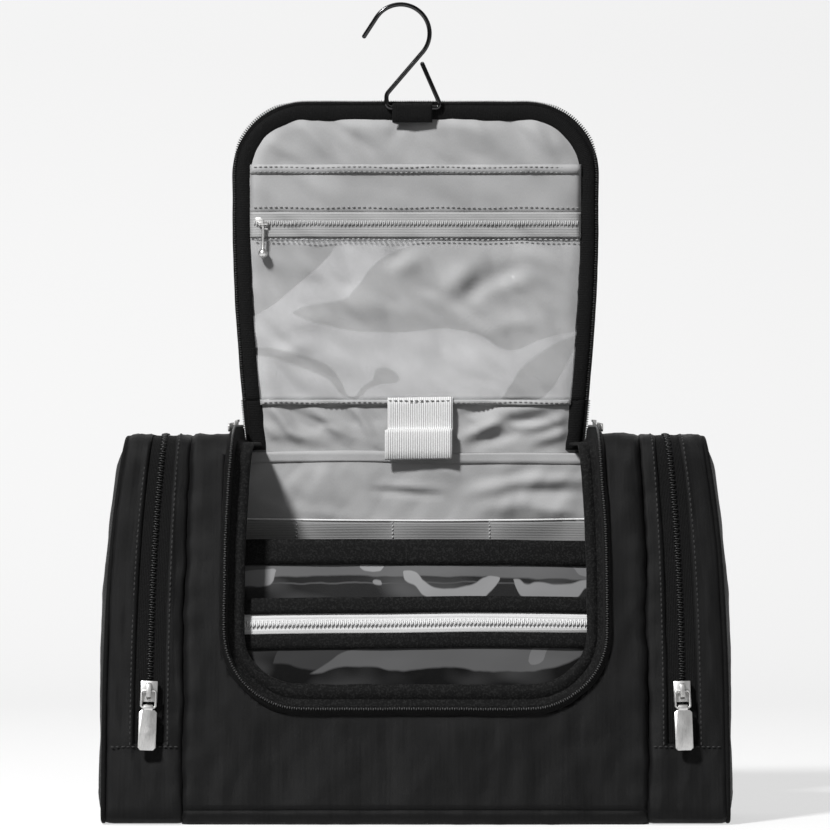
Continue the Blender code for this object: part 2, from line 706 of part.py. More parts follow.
def hook_and_loop(parent):
    """Webbing loop sewn to the lid's top, and the wire hook that swings on its bar inside it."""
    arc = [math.radians(180 * step / 8) for step in range(9)]
    outside = [(BAR_Y + LOOP_OUTER * math.cos(a), BAR_Z + LOOP_OUTER * math.sin(a)) for a in arc]
    hollow = LOOP_OUTER - WEBBING
    inside = [(BAR_Y + hollow * math.cos(a), BAR_Z + hollow * math.sin(a)) for a in reversed(arc)]
    foot = BAR_Z - LOOP_TAIL
    loop = [(BAR_Y + LOOP_OUTER, foot)] + outside + [(BAR_Y - LOOP_OUTER, foot), (BAR_Y - hollow, foot)]
    loop += inside + [(BAR_Y + hollow, foot)]
    attach(finish("hook_loop", prism([loop], LOOP_LEFT, LOOP_RIGHT, SIDE_ON), "black_trim"), parent)
    swing = pivot("hook_axis", (0, BAR_Y, BAR_Z), parent)
    turns = [math.radians(CROOK_START + (CROOK_END - CROOK_START) * step / 16) for step in range(17)]
    crook = [Vector((CROOK_X, CROOK_HEIGHT)) + CROOK_RADIUS * Vector((math.cos(a), math.sin(a))) for a in turns]
    tip = crook[0] + TIP_LENGTH * Vector((-math.sin(turns[0]), math.cos(turns[0])))
    bends = [crook[-1], (BAR_LEFT, SHOULDER), (BAR_LEFT, 0), (BAR_RIGHT, 0), FREE_END]
    wire = [tip] + crook[:-1] + rounded(bends, BEND_RADII)
    points = [Vector((x, BAR_Y, BAR_Z + z)) for x, z in wire]
    attach(tube("hanger_hook", points, WIRE_RADIUS, "dark_steel", resolution=2), swing)


# Sliders and pulls

def crown_wall(size):
    return CROWN_WALL * size + CROWN_WALL_LEAST


def trapezium(shares, reach, low, high):
    foot, top = (share * reach for share in shares)
    return [(-foot, low), (foot, low), (top, high), (-top, high)]


def slider_mesh(size, flange):
    """A channel that straddles the coil, under an arched crown that the pull hangs from."""
    half, inner, roof = (size * d for d in (SLIDER_HALF_WIDTH, CHANNEL_HALF_WIDTH, SLIDER_ROOF))
    channel = [(-half, -flange), (-inner, -flange), (-inner, 0), (inner, 0),
               (inner, -flange), (half, -flange), (half, roof), (-half, roof)]
    reach = size * SLIDER_LENGTH / 2
    body = prism([channel], -reach, reach, UPRIGHT)
    top = size * CROWN_HEIGHT
    arch = trapezium(CROWN_SHARES, reach, roof - SET_IN, top)
    eye = trapezium(EYE_SHARES, reach, roof + EYE_CLEARANCE, top - crown_wall(size))
    crown_half = size * CROWN_HALF_WIDTH
    return joined(body, prism([arch, eye], -crown_half, crown_half, SIDE_ON))


def link_points():
    corner = LINK_WIRE * 1.2
    half, length = LINK_HALF_WIDTH, LINK_LENGTH
    return [Vector(p) for p in (
        (half - corner, 0, 0), (half, -corner, 0), (half, corner - length, 0), (half - corner, -length, 0),
        (corner - half, -length, 0), (-half, corner - length, 0), (-half, -corner, 0), (corner - half, 0, 0))]


def pull_mesh():
    """Plate with a knuckle that turns on the link's lower bar, hanging along -Y."""
    hollow = LINK_WIRE + GAP
    knuckle = [circle_points(hollow + KNUCKLE_WALL, 10), circle_points(hollow, 10)]
    tab = LINK_HALF_WIDTH - LINK_WIRE - 2 * GAP
    eye = prism(knuckle, -tab, tab, SIDE_ON)
    start, end, cut = SET_IN - hollow - KNUCKLE_WALL, -PULL_LENGTH, PULL_CUT
    half = PULL_HALF_WIDTH
    plate = [(half - cut, start), (half, start - cut), (half, end + cut), (half - cut, end),
             (cut - half, end), (-half, end + cut), (-half, start - cut), (cut - half, start)]
    return joined(prism([plate], -PULL_THICKNESS / 2, PULL_THICKNESS / 2, Matrix()), eye)


def main_pull_loops():
    half, bar, end, cut = MAIN_PULL_HALF_WIDTH, MAIN_PULL_END_BAR, -MAIN_PULL_LENGTH, MAIN_PULL_CUT
    outer = [(half, bar), (half, end + cut), (half - cut, end), (cut - half, end), (-half, end + cut),
             (-half, bar)]
    inner = half - MAIN_PULL_RIM
    return [outer, rectangle(-inner, inner, -MAIN_PULL_EYE, -bar)]


def end_slider(name, side, mesh, plate):
    first = front_s(END_SLIDER_Z)
    height = GAP + 2 * END_COIL_RADIUS + GAP
    start = on_skin(side * END_ZIP_X, first, height)
    along = (on_skin(side * END_ZIP_X, first - END_SLIDER_TRAVEL, height) - start).normalized()
    out = Vector((0, -math.cos(SLOPE), math.sin(SLOPE)))
    frame = frame_of(along, out, start)
    slider = add_object(f"end_slider_{name}", mesh, "brushed_steel", frame)
    axis = frame @ Matrix.Translation((0, 0, PULL_AXIS_HEIGHT))
    link = tube(f"end_link_{name}", link_points(), LINK_WIRE, "brushed_steel", True, place=axis)
    attach(link, slider)
    knuckle = axis @ Matrix.Translation((0, -LINK_LENGTH, 0))
    attach(add_object(f"end_pull_{name}", plate, "brushed_steel", knuckle), link)


def main_slider(name, side, mesh):
    """Slider at the hinge end of the opening's zip; its pull lies forward beside the lip."""
    height = LIP_HEIGHT + GAP + COIL_RADIUS

    def coil_point(s):
        return on_skin(side * (half_width(s) + COIL_GROW), s, height)

    start = coil_point(MAIN_SLIDER_S)
    back = (start - coil_point(MAIN_SLIDER_S + MAIN_SLIDER_TRAVEL)).normalized()
    out = Vector((side, 0, 0))
    frame = frame_of(back, out, start + out * (COIL_RADIUS + GAP))
    slider = add_object(f"main_slider_{name}", mesh, "brushed_steel", frame)
    axis = frame @ Matrix.Translation((0, 0, MAIN_SLIDER * PULL_AXIS_HEIGHT))
    thick = MAIN_PULL_THICKNESS / 2
    bm = prism(main_pull_loops(), -thick, thick, Matrix())
    attach(finish(f"main_pull_{name}", bm, "brushed_steel", axis), slider)


def clear_scene():
    for obj in list(bpy.data.objects):
        bpy.data.objects.remove(obj)


def make_materials():
    for name, (colour, roughness, metallic) in MATERIALS.items():
        material = bpy.data.materials.new(name)
        material.use_nodes = True
        shader = material.node_tree.nodes["Principled BSDF"]
        shader.inputs["Base Color"].default_value = (*colour, 1)
        shader.inputs["Roughness"].default_value = roughness
        shader.inputs["Metallic"].default_value = metallic


def shade_round_pieces():
    for obj in bpy.data.objects:
        if obj.type == "MESH" and ("charm" in obj.name or "slider" in obj.name):
            obj.data.shade_smooth()
            obj.data.set_sharp_from_angle(angle=math.radians(35))


def build():
    clear_scene()
    make_materials()
    body_panels()
    opening_zip()
    back_pockets()
    pouches()
    end_mesh = slider_mesh(1.0, 1.5 * END_COIL_RADIUS)
    main_mesh = slider_mesh(MAIN_SLIDER, MAIN_FLANGE)
    plate = pull_mesh()
    for name, side in (("left", -1), ("right", 1)):
        end_pocket(name, side)
        end_slider(name, side, end_mesh, plate)
        main_slider(name, side, main_mesh)
    hinge = pivot("fold_back_axis", (0, HINGE_Y, HINGE_Z))
    lid_lower(hinge)
    fold = pivot("fold_front_axis", (0, FOLD_Y_OPEN, HINGE_Z + FOLD_V), hinge)
    lid_upper(fold)
    lid_pocket_slider(fold)
    hook_and_loop(fold)
    shade_round_pieces()


section = Section()
build()
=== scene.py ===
import json
import math

import bmesh
import bpy
from mathutils import Matrix, Vector, noise

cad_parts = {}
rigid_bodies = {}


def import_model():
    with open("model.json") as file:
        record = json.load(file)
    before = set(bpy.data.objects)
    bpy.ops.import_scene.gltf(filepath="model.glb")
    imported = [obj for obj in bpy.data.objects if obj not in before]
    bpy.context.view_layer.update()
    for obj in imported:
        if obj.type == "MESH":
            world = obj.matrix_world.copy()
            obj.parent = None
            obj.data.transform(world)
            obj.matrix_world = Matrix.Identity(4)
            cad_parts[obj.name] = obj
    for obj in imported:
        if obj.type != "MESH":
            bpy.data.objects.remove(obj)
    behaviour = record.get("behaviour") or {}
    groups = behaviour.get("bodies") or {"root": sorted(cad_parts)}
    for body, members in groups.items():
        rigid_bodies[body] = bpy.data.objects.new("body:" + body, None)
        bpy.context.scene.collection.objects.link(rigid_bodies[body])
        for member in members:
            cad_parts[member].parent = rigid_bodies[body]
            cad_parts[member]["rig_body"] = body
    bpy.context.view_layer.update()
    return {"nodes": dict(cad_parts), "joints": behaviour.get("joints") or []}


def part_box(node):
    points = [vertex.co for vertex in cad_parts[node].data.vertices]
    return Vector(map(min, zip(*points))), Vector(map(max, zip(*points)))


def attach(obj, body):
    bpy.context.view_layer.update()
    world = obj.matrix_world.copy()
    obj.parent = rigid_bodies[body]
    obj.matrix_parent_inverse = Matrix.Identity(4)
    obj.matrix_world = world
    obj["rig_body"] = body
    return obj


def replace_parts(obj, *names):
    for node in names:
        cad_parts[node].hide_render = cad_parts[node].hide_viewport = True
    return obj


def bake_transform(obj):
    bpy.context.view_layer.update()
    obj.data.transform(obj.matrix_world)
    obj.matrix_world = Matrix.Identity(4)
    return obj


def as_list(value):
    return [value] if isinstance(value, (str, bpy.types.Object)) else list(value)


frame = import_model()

joints = {joint["name"]: joint for joint in frame["joints"]}
hingeY, hingeZ = joints["fold_back"]["pos_m"][1:]
foldZ = joints["fold_front"]["pos_m"][2]
sides = {"left": -1, "right": 1}
mm = 0.001


# the bag's own frame: x across, s forward over the skin from the lid's hinge, n out of the skin

bagShape = {
    "height": 0.1945,
    "baseDepth": 0.084,
    "topDepth": 0.049,
    "endHalfWidth": 0.1586,
    "endLean": 0.011,
    "leanPower": 3.4,
    "steadyHalfWidth": 0.0982,
    "seamHalfWidth": 0.1165,
    "radii": (0.0035, 0.015, 0.006, 0.006),   # back top, front top, front base, back base
}
lidShape = {
    "length": 0.1765,
    "halfWidth": 0.0943,
    "narrowing": 0.0073,
    "widestAt": 0.12,
    "corner": 0.0375,
    "openingLength": 0.1767,
}


def turnBetween(first, second):
    return math.atan2(first.x * second.y - first.y * second.x, first.dot(second)) % math.tau


class BagSection:
    # the closed outline of the bag seen from its end: straight runs joined by arcs
    def __init__(self, shape):
        back = shape["baseDepth"] / 2
        corners = [Vector(spot)
                   for spot in ((back, shape["height"]), (back - shape["topDepth"], shape["height"]),
                                             (-back, 0), (back, 0))]
        radii = shape["radii"]
        runs = [(corners[(i + 1) % 4] - corners[i]).normalized() for i in range(4)]
        sweeps = [turnBetween(runs[i - 1], runs[i]) for i in range(4)]
        setbacks = [radii[i] * math.tan(sweeps[i] / 2) for i in range(4)]
        self.parts, walked = [], 0.0
        for i in range(4):
            after = (i + 1) % 4
            start = corners[i] + runs[i] * setbacks[i]
            length = (corners[after] - corners[i]).length - setbacks[i] - setbacks[after]
            self.parts.append((walked, length, start, runs[i], 0.0))
            walked += length
            self.parts.append((walked, radii[after] * sweeps[after], start + runs[i] * length, runs[i],
                               radii[after]))
            walked += radii[after] * sweeps[after]
        self.total = walked
        self.origin = back - setbacks[0] - hingeY

    def at(self, s):
        walked = (s + self.origin) % self.total
        for begin, length, start, along, radius in self.parts:
            if walked <= begin + length + 1e-9:
                break
        outward = Vector((along.y, -along.x))
        if radius == 0:
            return start + along * (walked - begin), outward
        turned = Matrix.Rotation((walked - begin) / radius, 2) @ outward
        return start - outward * radius + turned * radius, turned

    def run(self, index):
        begin, length = self.parts[2 * index][:2]
        return begin - self.origin, begin + length - self.origin


section = BagSection(bagShape)
slope = math.atan2(bagShape["baseDepth"] - bagShape["topDepth"], bagShape["height"])


def leanIn(x, z):
    steady = bagShape["steadyHalfWidth"]
    beyond = abs(x) - steady
    if beyond <= 0:
        return x
    share = min(max(z / bagShape["height"], 0.0), 1.0)
    width = bagShape["endHalfWidth"]
    squeeze = (width - bagShape["endLean"] * share ** bagShape["leanPower"] - steady) / (width - steady)
    return math.copysign(steady + beyond * squeeze, x)


def onSkin(x, s, n=0.0):
    point, outward = section.at(s)
    y, z = point + outward * n
    return Vector((leanIn(x, z), y, z))


def skinNormal(s):
    outward = section.at(s)[1]
    return Vector((0, outward.x, outward.y))


def frontS(z, n=0.0):
    # how far down the front a height lies, n out of it
    first = section.run(1)[0]
    start = section.at(first)[0].y
    return first + (start + n * math.sin(slope) - z) / math.cos(slope)


def halfWidth(v):
    share = min(max(v / lidShape["widestAt"], 0.0), 1.0)
    return lidShape["halfWidth"] - lidShape["narrowing"] * (1 - math.sin(share * math.pi / 2))


class EdgePath:
    # the edge of the lid, and of the opening that it closes:
    # down the right side, round the far end, up the left
    def __init__(self, length, first):
        straight = length - lidShape["corner"]
        centre = lidShape["halfWidth"] - lidShape["corner"]
        right = [(halfWidth(v), v, 1.0, 0.0) for v in
                 (first + (straight - first) * step / 24 for step in range(25))]
        for step in range(1, 17):
            angle = math.radians(90) * step / 16
            radius = lidShape["corner"]
            right.append((centre + radius * math.cos(angle), straight + radius * math.sin(angle),
                          math.cos(angle), math.sin(angle)))
        for step in range(1, 12):
            right.append((centre * (1 - step / 12), length, 0.0, 1.0))
        left = [(-x, v, -across, up) for x, v, across, up in reversed(right)]
        self.spots = right + [(0.0, length, 0.0, 1.0)] + left
        self.walked = [0.0]
        for before, after in zip(self.spots, self.spots[1:]):
            self.walked.append(self.walked[-1] + math.dist(before[:2], after[:2]))
        self.total = self.walked[-1]

    def at(self, distance, grow=0.0):
        distance = min(max(distance, 0.0), self.total)
        low, high = 0, len(self.walked) - 1
        while high - low > 1:
            middle = (low + high) // 2
            low, high = (middle, high) if self.walked[middle] <= distance else (low, middle)
        share = (distance - self.walked[low]) / (self.walked[high] - self.walked[low])
        x, v, across, up = (a + (b - a) * share for a, b in zip(self.spots[low], self.spots[high]))
        size = math.hypot(across, up)
        return x + grow * across / size, v + grow * up / size, across / size, up / size


def softNoise(x, y, z=0.0, octaves=3):
    return noise.fractal(Vector((x, y, z)), 0.9, 2.0, octaves)


def steps(low, high, count):
    return [low + (high - low) * i / count for i in range(count + 1)]


def smooth(low, high, value):
    share = min(max((value - low) / (high - low), 0.0), 1.0)
    return share * share * (3 - 2 * share)


def folds(x, y, lines):
    # ridges, or hollows where the height is negative, along short lines that fade out at both ends; all in mm
    x, y, total = x / mm, y / mm, 0.0
    for startX, startY, endX, endY, width, height in lines:
        runX, runY = endX - startX, endY - startY
        share = ((x - startX) * runX + (y - startY) * runY) / (runX * runX + runY * runY)
        if -0.4 < share < 1.4:
            along = min(max(share, 0.0), 1.0)
            near = math.hypot(x - startX - runX * along, y - startY - runY * along)
            if near < width * 2.6:
                total += height * math.exp(-(near / width) ** 2) * (0.3 + 0.7 * math.sin(math.pi * along))
    return total * mm


# shader maths

class Value:
    # one socket of a finish, so that shader maths can be written as plain expressions
    def __init__(self, finish, socket):
        self.finish, self.socket = finish, socket

    def maths(self, operation, *others, clamp=False):
        inputs = dict(enumerate((self, *others)))
        return self.finish.add("ShaderNodeMath", {"operation": operation, "use_clamp": clamp}, inputs)

    def __add__(self, other): return self.maths("ADD", other)
    def __radd__(self, other): return self.maths("ADD", other)
    def __sub__(self, other): return self.maths("SUBTRACT", other)
    def __rsub__(self, other): return self.finish.number("SUBTRACT", other, self)
    def __mul__(self, other): return self.maths("MULTIPLY", other)
    def __rmul__(self, other): return self.maths("MULTIPLY", other)
    def sine(self): return self.maths("SINE")
    def clamped(self): return self.maths("ADD", 0.0, clamp=True)


class Finish:
    # one material's nodes
    def __init__(self, name):
        self.material = bpy.data.materials.new(name)
        self.material.use_nodes = True
        self.tree = self.material.node_tree
        self.tree.nodes.clear()

    def add(self, kind, settings=None, inputs=None, output=0):
        node = self.tree.nodes.new(kind)
        for key, value in (settings or {}).items():
            if key == "points":
                line = node.mapping.curves[0]
                for spot in value[1:-1]:
                    line.points.new(*spot)
                line.points[0].location, line.points[-1].location = value[0], value[-1]
                node.mapping.update()
            else:
                setattr(node, key, value)
        for key, value in (inputs or {}).items():
            socket = node.inputs[key]
            if isinstance(value, Value):
                self.tree.links.new(value.socket, socket)
            else:
                socket.default_value = value
        return Value(self, node.outputs[output])

    def number(self, operation, first, second):
        return self.add("ShaderNodeMath", {"operation": operation}, {0: first, 1: second})

    def place(self):
        return self.add("ShaderNodeTexCoord", output="Object")

    def cloth(self):
        return self.add("ShaderNodeUVMap", {"uv_map": "cloth"})

    def parts(self, vector):
        split = self.add("ShaderNodeSeparateXYZ", inputs={0: vector})
        node = split.socket.node
        return [Value(self, node.outputs[i]) for i in range(3)]

    def stretched(self, vector, x, y, z):
        return self.add("ShaderNodeMapping", inputs={"Vector": vector, "Scale": (x, y, z)})

    def noise(self, vector, scale, detail=3.0, roughness=0.5, distortion=0.0):
        return self.add("ShaderNodeTexNoise", inputs={
            "Vector": vector, "Scale": scale, "Detail": detail, "Roughness": roughness,
                                                      "Distortion": distortion})

    def spread(self, value, low, high, first, last):
        return self.add("ShaderNodeMapRange", {"clamp": True}, {
            "Value": value, "From Min": low, "From Max": high, "To Min": first, "To Max": last})

    def curve(self, value, points):
        return self.add("ShaderNodeFloatCurve", {"points": points}, {"Value": value})

    def between(self, across, up, low, high, edge):
        # one between two drawn lines and nothing outside them
        under = self.spread(up - self.curve(across, low), 0.0, edge, 0.0, 1.0)
        over = self.spread(self.curve(across, high) - up, 0.0, edge, 0.0, 1.0)
        return under * over

    def blend(self, factor, first, last):
        return self.add("ShaderNodeMix", {"data_type": "RGBA"}, {0: factor, 6: first, 7: last}, output=2)

    def bump(self, height, strength, distance):
        return self.add("ShaderNodeBump", inputs={
            "Height": height, "Strength": strength, "Distance": distance})

    def shade(self, inputs):
        shader = self.add("ShaderNodeBsdfPrincipled", inputs=inputs, output="BSDF")
        out = self.tree.nodes.new("ShaderNodeOutputMaterial")
        self.tree.links.new(shader.socket, out.inputs["Surface"])
        return self.material


# building cloth, bands, stitches and zip teeth

def flatFace(loops):
    # a face in the XY plane; the first loop is its outline and any others are holes
    bm = bmesh.new()
    for loop in loops:
        corners = [bm.verts.new((x, y, 0)) for x, y in loop]
        for corner, after in zip(corners, corners[1:] + corners[:1]):
            bm.edges.new((corner, after))
    if len(loops) == 1:
        bm.faces.new(bm.verts)
    else:
        bmesh.ops.triangle_fill(bm, use_beauty=True, use_dissolve=False, edges=bm.edges[:])
    return bm


def cutGrid(bm, cellX, cellY):
    # cut the face into cells fine enough to take the cloth's shape
    for axis, cell in ((0, cellX), (1, cellY)):
        values = [vert.co[axis] for vert in bm.verts]
        low, high = min(values), max(values)
        count = max(1, round((high - low) / cell))
        normal = Vector((1, 0, 0) if axis == 0 else (0, 1, 0))
        for step in range(1, count):
            spot = normal * (low + (high - low) * step / count)
            everything = bm.verts[:] + bm.edges[:] + bm.faces[:]
            bmesh.ops.bisect_plane(bm, geom=everything, dist=1e-6, plane_co=spot, plane_no=normal)


def keepMesh(name, bm, material):
    mesh = bpy.data.meshes.new(name)
    bm.to_mesh(mesh)
    bm.free()
    mesh.materials.append(material)
    mesh.polygons.foreach_set("use_smooth", [True] * len(mesh.polygons))
    obj = bpy.data.objects.new(name, mesh)
    bpy.context.scene.collection.objects.link(obj)
    return obj


def thicken(obj, thickness):
    wall = obj.modifiers.new("wall", "SOLIDIFY")
    wall.thickness = thickness
    wall.offset = -1.0
    wall.use_rim = True
    wall.use_even_offset = False
    return obj


def drawFlat(bm):
    # keeps the flat drawing as the cloth's own coordinates, and says how large it is
    layer = bm.loops.layers.uv.new("cloth")
    for face in bm.faces:
        for loop in face.loops:
            loop[layer].uv = loop.vert.co.xy
    return sum(face.calc_area() for face in bm.faces)


def clothPiece(name, loops, place, values, material):
    # a piece of cloth: drawn flat, cut into cells, laid in place and given its thickness
    bm = flatFace(loops)
    cell = values["cell"]
    cutGrid(bm, *(cell if hasattr(cell, "__len__") else (cell, cell)))
    area = drawFlat(bm)
    spots = [vert.co.copy() for vert in bm.verts]
    size = [max(s[i] for s in spots) - min(s[i] for s in spots) for i in (0, 1)]
    for vert in bm.verts:
        vert.co = place(vert.co.x, vert.co.y)
    if values.get("flip"):
        bmesh.ops.reverse_faces(bm, faces=bm.faces)
    obj = keepMesh(name, bm, material)
    thicken(obj, values["thickness"])
    if "held" in values:
        whole = size[0] * size[1]
        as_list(values.get("restsOn", ()))
    return obj


def rectangle(left, right, low, high):
    return [(right, low), (right, high), (left, high), (left, low)]


def mirrored(points):
    return [(-x, v) for x, v in reversed(points)]


def walkAlong(points, pitch, start=0.5):
    # places and directions every pitch along a line of points
    walked, due, found = 0.0, pitch * start, []
    for before, after in zip(points, points[1:]):
        length = (after[0] - before[0]).length
        while due <= walked + length and length > 1e-9:
            share = (due - walked) / length
            found.append((before[0].lerp(after[0], share), (after[0] - before[0]).normalized(),
                          before[1].lerp(after[1], share).normalized()))
            due += pitch
        walked += length
    return found


def frameAt(place, along, outward):
    across = along.cross(outward).normalized()
    return Matrix.Translation(place) @ Matrix((across, along, across.cross(along))).transposed().to_4x4()


stitchSize = {"pitch": 0.0027, "length": 0.0019, "width": 0.00042, "height": 0.00034, "sink": 0.00002}


def stitches(name, lines, material, pitch=None, size=1.0):
    # rows of sewn stitches, each a small rounded bead of thread
    bm = bmesh.new()
    step = pitch or stitchSize["pitch"]
    for line in lines:
        for place, along, outward in walkAlong(line, step):
            shape = Matrix.Diagonal((stitchSize["width"] * size, step * 0.36, stitchSize["height"] * size,
                                     1))
            spot = frameAt(place - outward * stitchSize["sink"], along, outward)
            bmesh.ops.create_icosphere(bm, subdivisions=1, radius=1.0, matrix=spot @ shape)
    return keepMesh(name, bm, material)


chainBead = {"stagger": 0.14, "tilt": 7, "duty": 0.36}


def zipChain(name, line, values, material):
    # the turns of a zip's coil, each a slim bead across the chain,
    # set a little to one side and then the other
    bm = bmesh.new()
    for index, (place, along, outward) in enumerate(walkAlong(line, values["pitch"])):
        side = 1 if index % 2 else -1
        tilt = Matrix.Rotation(side * math.radians(chainBead["tilt"]), 4, "Z")
        shift = Matrix.Translation((side * values["half"] * chainBead["stagger"], 0, 0))
        shape = Matrix.Diagonal((values["half"], values["pitch"] * values.get("duty", chainBead["duty"]),
                                 values["height"], 1))
        spot = frameAt(place, along, outward) @ shift @ tilt
        bmesh.ops.create_icosphere(bm, subdivisions=1, radius=1.0, matrix=spot @ shape)
    return keepMesh(name, bm, material)


def band(name, rows, values, material):
    # a strip lofted through rows of points, one row for each place along it
    bm = bmesh.new()
    grid = [[bm.verts.new(spot) for spot in row] for row in rows]
    layer = bm.loops.layers.uv.new("cloth")
    along, across = [0.0], [0.0]
    for before, after in zip(rows, rows[1:]):
        along.append(along[-1] + (after[len(after) // 2] - before[len(before) // 2]).length)
    for before, after in zip(rows[0], rows[0][1:]):
        across.append(across[-1] + (after - before).length)
    flat = {}
    for i, row in enumerate(grid):
        for j, vert in enumerate(row):
            flat[vert] = (along[i], across[j])
    for before, after in zip(grid, grid[1:]):
        edges = []
        for row in (before, after):
            for a, b in zip(row, row[1:]):
                edges.append(bm.edges.get((a, b)) or bm.edges.new((a, b)))
        bmesh.ops.bridge_loops(bm, edges=edges)
    for face in bm.faces:
        for loop in face.loops:
            loop[layer].uv = flat[loop.vert]
    bmesh.ops.recalc_face_normals(bm, faces=bm.faces)
    obj = keepMesh(name, bm, material)
    if "thickness" in values:
        thicken(obj, values["thickness"])
    return obj


def wire(name, points, radius, material, closed=False, around=12):
    # a round wire or cord swept along points, with rounded ends
    bm = bmesh.new()
    rings = []
    count = len(points)
    up = None
    for i, point in enumerate(points):
        before = points[(i - 1) % count] if closed or i else points[i]
        after = points[(i + 1) % count] if closed or i < count - 1 else points[i]
        along = (after - before).normalized()
        if up is None:
            up = Vector((0, 1, 0)) if abs(along.y) < 0.9 else Vector((1, 0, 0))
        up = (up - along * up.dot(along)).normalized()
        spot = Matrix.Translation(point) @ Matrix((up, along.cross(up), along)).transposed().to_4x4()
        made = bmesh.ops.create_circle(bm, cap_ends=False, segments=around, radius=radius, matrix=spot)
        rings.append(made["verts"])
    pairs = list(zip(rings, rings[1:])) + ([(rings[-1], rings[0])] if closed else [])
    for first, second in pairs:
        edges = list({edge for ring in (first, second) for vert in ring for edge in vert.link_edges
                      if edge.other_vert(vert) in ring})
        bmesh.ops.bridge_loops(bm, edges=edges)
    if not closed:
        for ring, inner in ((rings[0], rings[1]), (rings[-1], rings[-2])):
            face = bm.faces.new(ring)
            centre = sum((vert.co for vert in ring), Vector()) / len(ring)
            outward = (centre - sum((vert.co for vert in inner), Vector()) / len(inner)).normalized()
            for grow, rise in ((0.75, 0.55), (0.3, 0.25)):
                rim = bmesh.ops.inset_individual(bm, faces=[face], thickness=radius * 0.01)
                for vert in face.verts:
                    vert.co = (centre + (vert.co - centre).normalized() * radius * grow
                               + outward * radius * rise)
                centre = centre + outward * radius * rise
    bmesh.ops.recalc_face_normals(bm, faces=bm.faces)
    return keepMesh(name, bm, material)


def hardware(name, node, values, material):
    # a metal part taken from its solid, merged and given rounded edges
    bm = bmesh.new()
    bm.from_mesh(frame["nodes"][node].data)
    bmesh.ops.remove_doubles(bm, verts=bm.verts, dist=1e-6)
    bmesh.ops.dissolve_limit(bm, angle_limit=math.radians(1.0), verts=bm.verts, edges=bm.edges)
    sharp = [edge for edge in bm.edges if len(edge.link_faces) == 2
             and edge.calc_face_angle(0) > math.radians(values.get("sharp", 28))]
    bmesh.ops.bevel(bm, geom=sharp, offset=values["round"], offset_type="OFFSET", segments=2, profile=0.5,
                    affect="EDGES", clamp_overlap=True, material=-1)
    obj = keepMesh(name, bm, material)
    obj.data.set_sharp_from_angle(angle=math.radians(40))
    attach(obj, frame["nodes"][node]["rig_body"])
    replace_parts(obj, node)
    return obj


# finishes

def grey(tone):
    return tone, tone, tone, 1


nylonLook = {
    "dark": (0.0010, 0.0010, 0.0011, 1),
    "light": (0.0070, 0.0070, 0.0072, 1),
    "worn": (0.013, 0.013, 0.0132, 1),
    "streaksAcross": 620,
    "streaksAlong": 22,
    "threadPitch": 0.45 * mm,
}


def blackNylon():
    f = Finish("blackNylon")
    cloth, place = f.cloth(), f.place()
    u, v, _ = f.parts(cloth)
    streak = f.noise(f.stretched(cloth, nylonLook["streaksAcross"], nylonLook["streaksAlong"], 1), 1.0, 4,
                     0.6)
    slub = f.noise(f.stretched(cloth, 420, 16, 1), 1.0, 3, 0.55)
    cloud = f.noise(place, 28, 4, 0.55)
    crinkle = f.noise(place, 210, 5, 0.62, 0.6)
    tone = f.spread(streak, 0.32, 0.68, 0.0, 1.0) * 0.55 + f.spread(slub, 0.35, 0.7, 0.0,
                                                                    0.3) + cloud * 0.25
    colour = f.blend(tone.clamped(), nylonLook["dark"], nylonLook["light"])
    worn = f.spread(crinkle, 0.62, 0.8, 0.0, 0.35)
    colour = f.blend(worn, colour, nylonLook["worn"])
    threads = ((u * (math.tau / nylonLook["threadPitch"])).sine()
               * (v * (math.tau / nylonLook["threadPitch"])).sine())
    height = threads * 0.10 + streak * 0.30 + slub * 0.30 + crinkle * 0.55
    return f.shade({
        "Base Color": colour, "Roughness": f.spread(cloud, 0.3, 0.7, 0.50, 0.64),
        "Normal": f.bump(height, 0.5, 0.0006), "Sheen Weight": 0.03, "Sheen Roughness": 0.4,
        "Sheen Tint": (0.5, 0.5, 0.5, 1), "Specular IOR Level": 0.16})


trimLook = {"dark": (0.0012, 0.0012, 0.0013, 1), "light": (0.015, 0.015, 0.015, 1), "ribPitch": 0.9 * mm}


def ribbedTrim(name="blackTrim", ribs=0.5, speckle=0.5):
    f = Finish(name)
    cloth, place = f.cloth(), f.place()
    u, _, _ = f.parts(cloth)
    rib = (u * (math.tau / trimLook["ribPitch"])).sine()
    fuzz = f.noise(place, 950, 2, 0.7)
    cloud = f.noise(place, 240, 3, 0.6)
    tone = (f.spread(fuzz, 0.50, 0.72, 0.0, speckle) + f.spread(rib, 0.2, 1.0, 0.0, 0.06)
            + f.spread(cloud, 0.5, 0.8, 0.0, 0.10))
    colour = f.blend(tone.clamped(), trimLook["dark"], trimLook["light"])
    height = rib * 0.3 * ribs + fuzz * 0.9 + cloud * 0.3
    return f.shade({
        "Base Color": colour, "Roughness": f.spread(fuzz, 0.3, 0.8, 0.68, 0.9),
        "Normal": f.bump(height, 0.8, 0.0005), "Sheen Weight": 0.02, "Sheen Roughness": 0.5,
        "Specular IOR Level": 0.15})


liningLook = {"dark": (0.355, 0.355, 0.358, 1), "light": (0.48, 0.48, 0.482, 1), "threadPitch": 0.40 * mm}


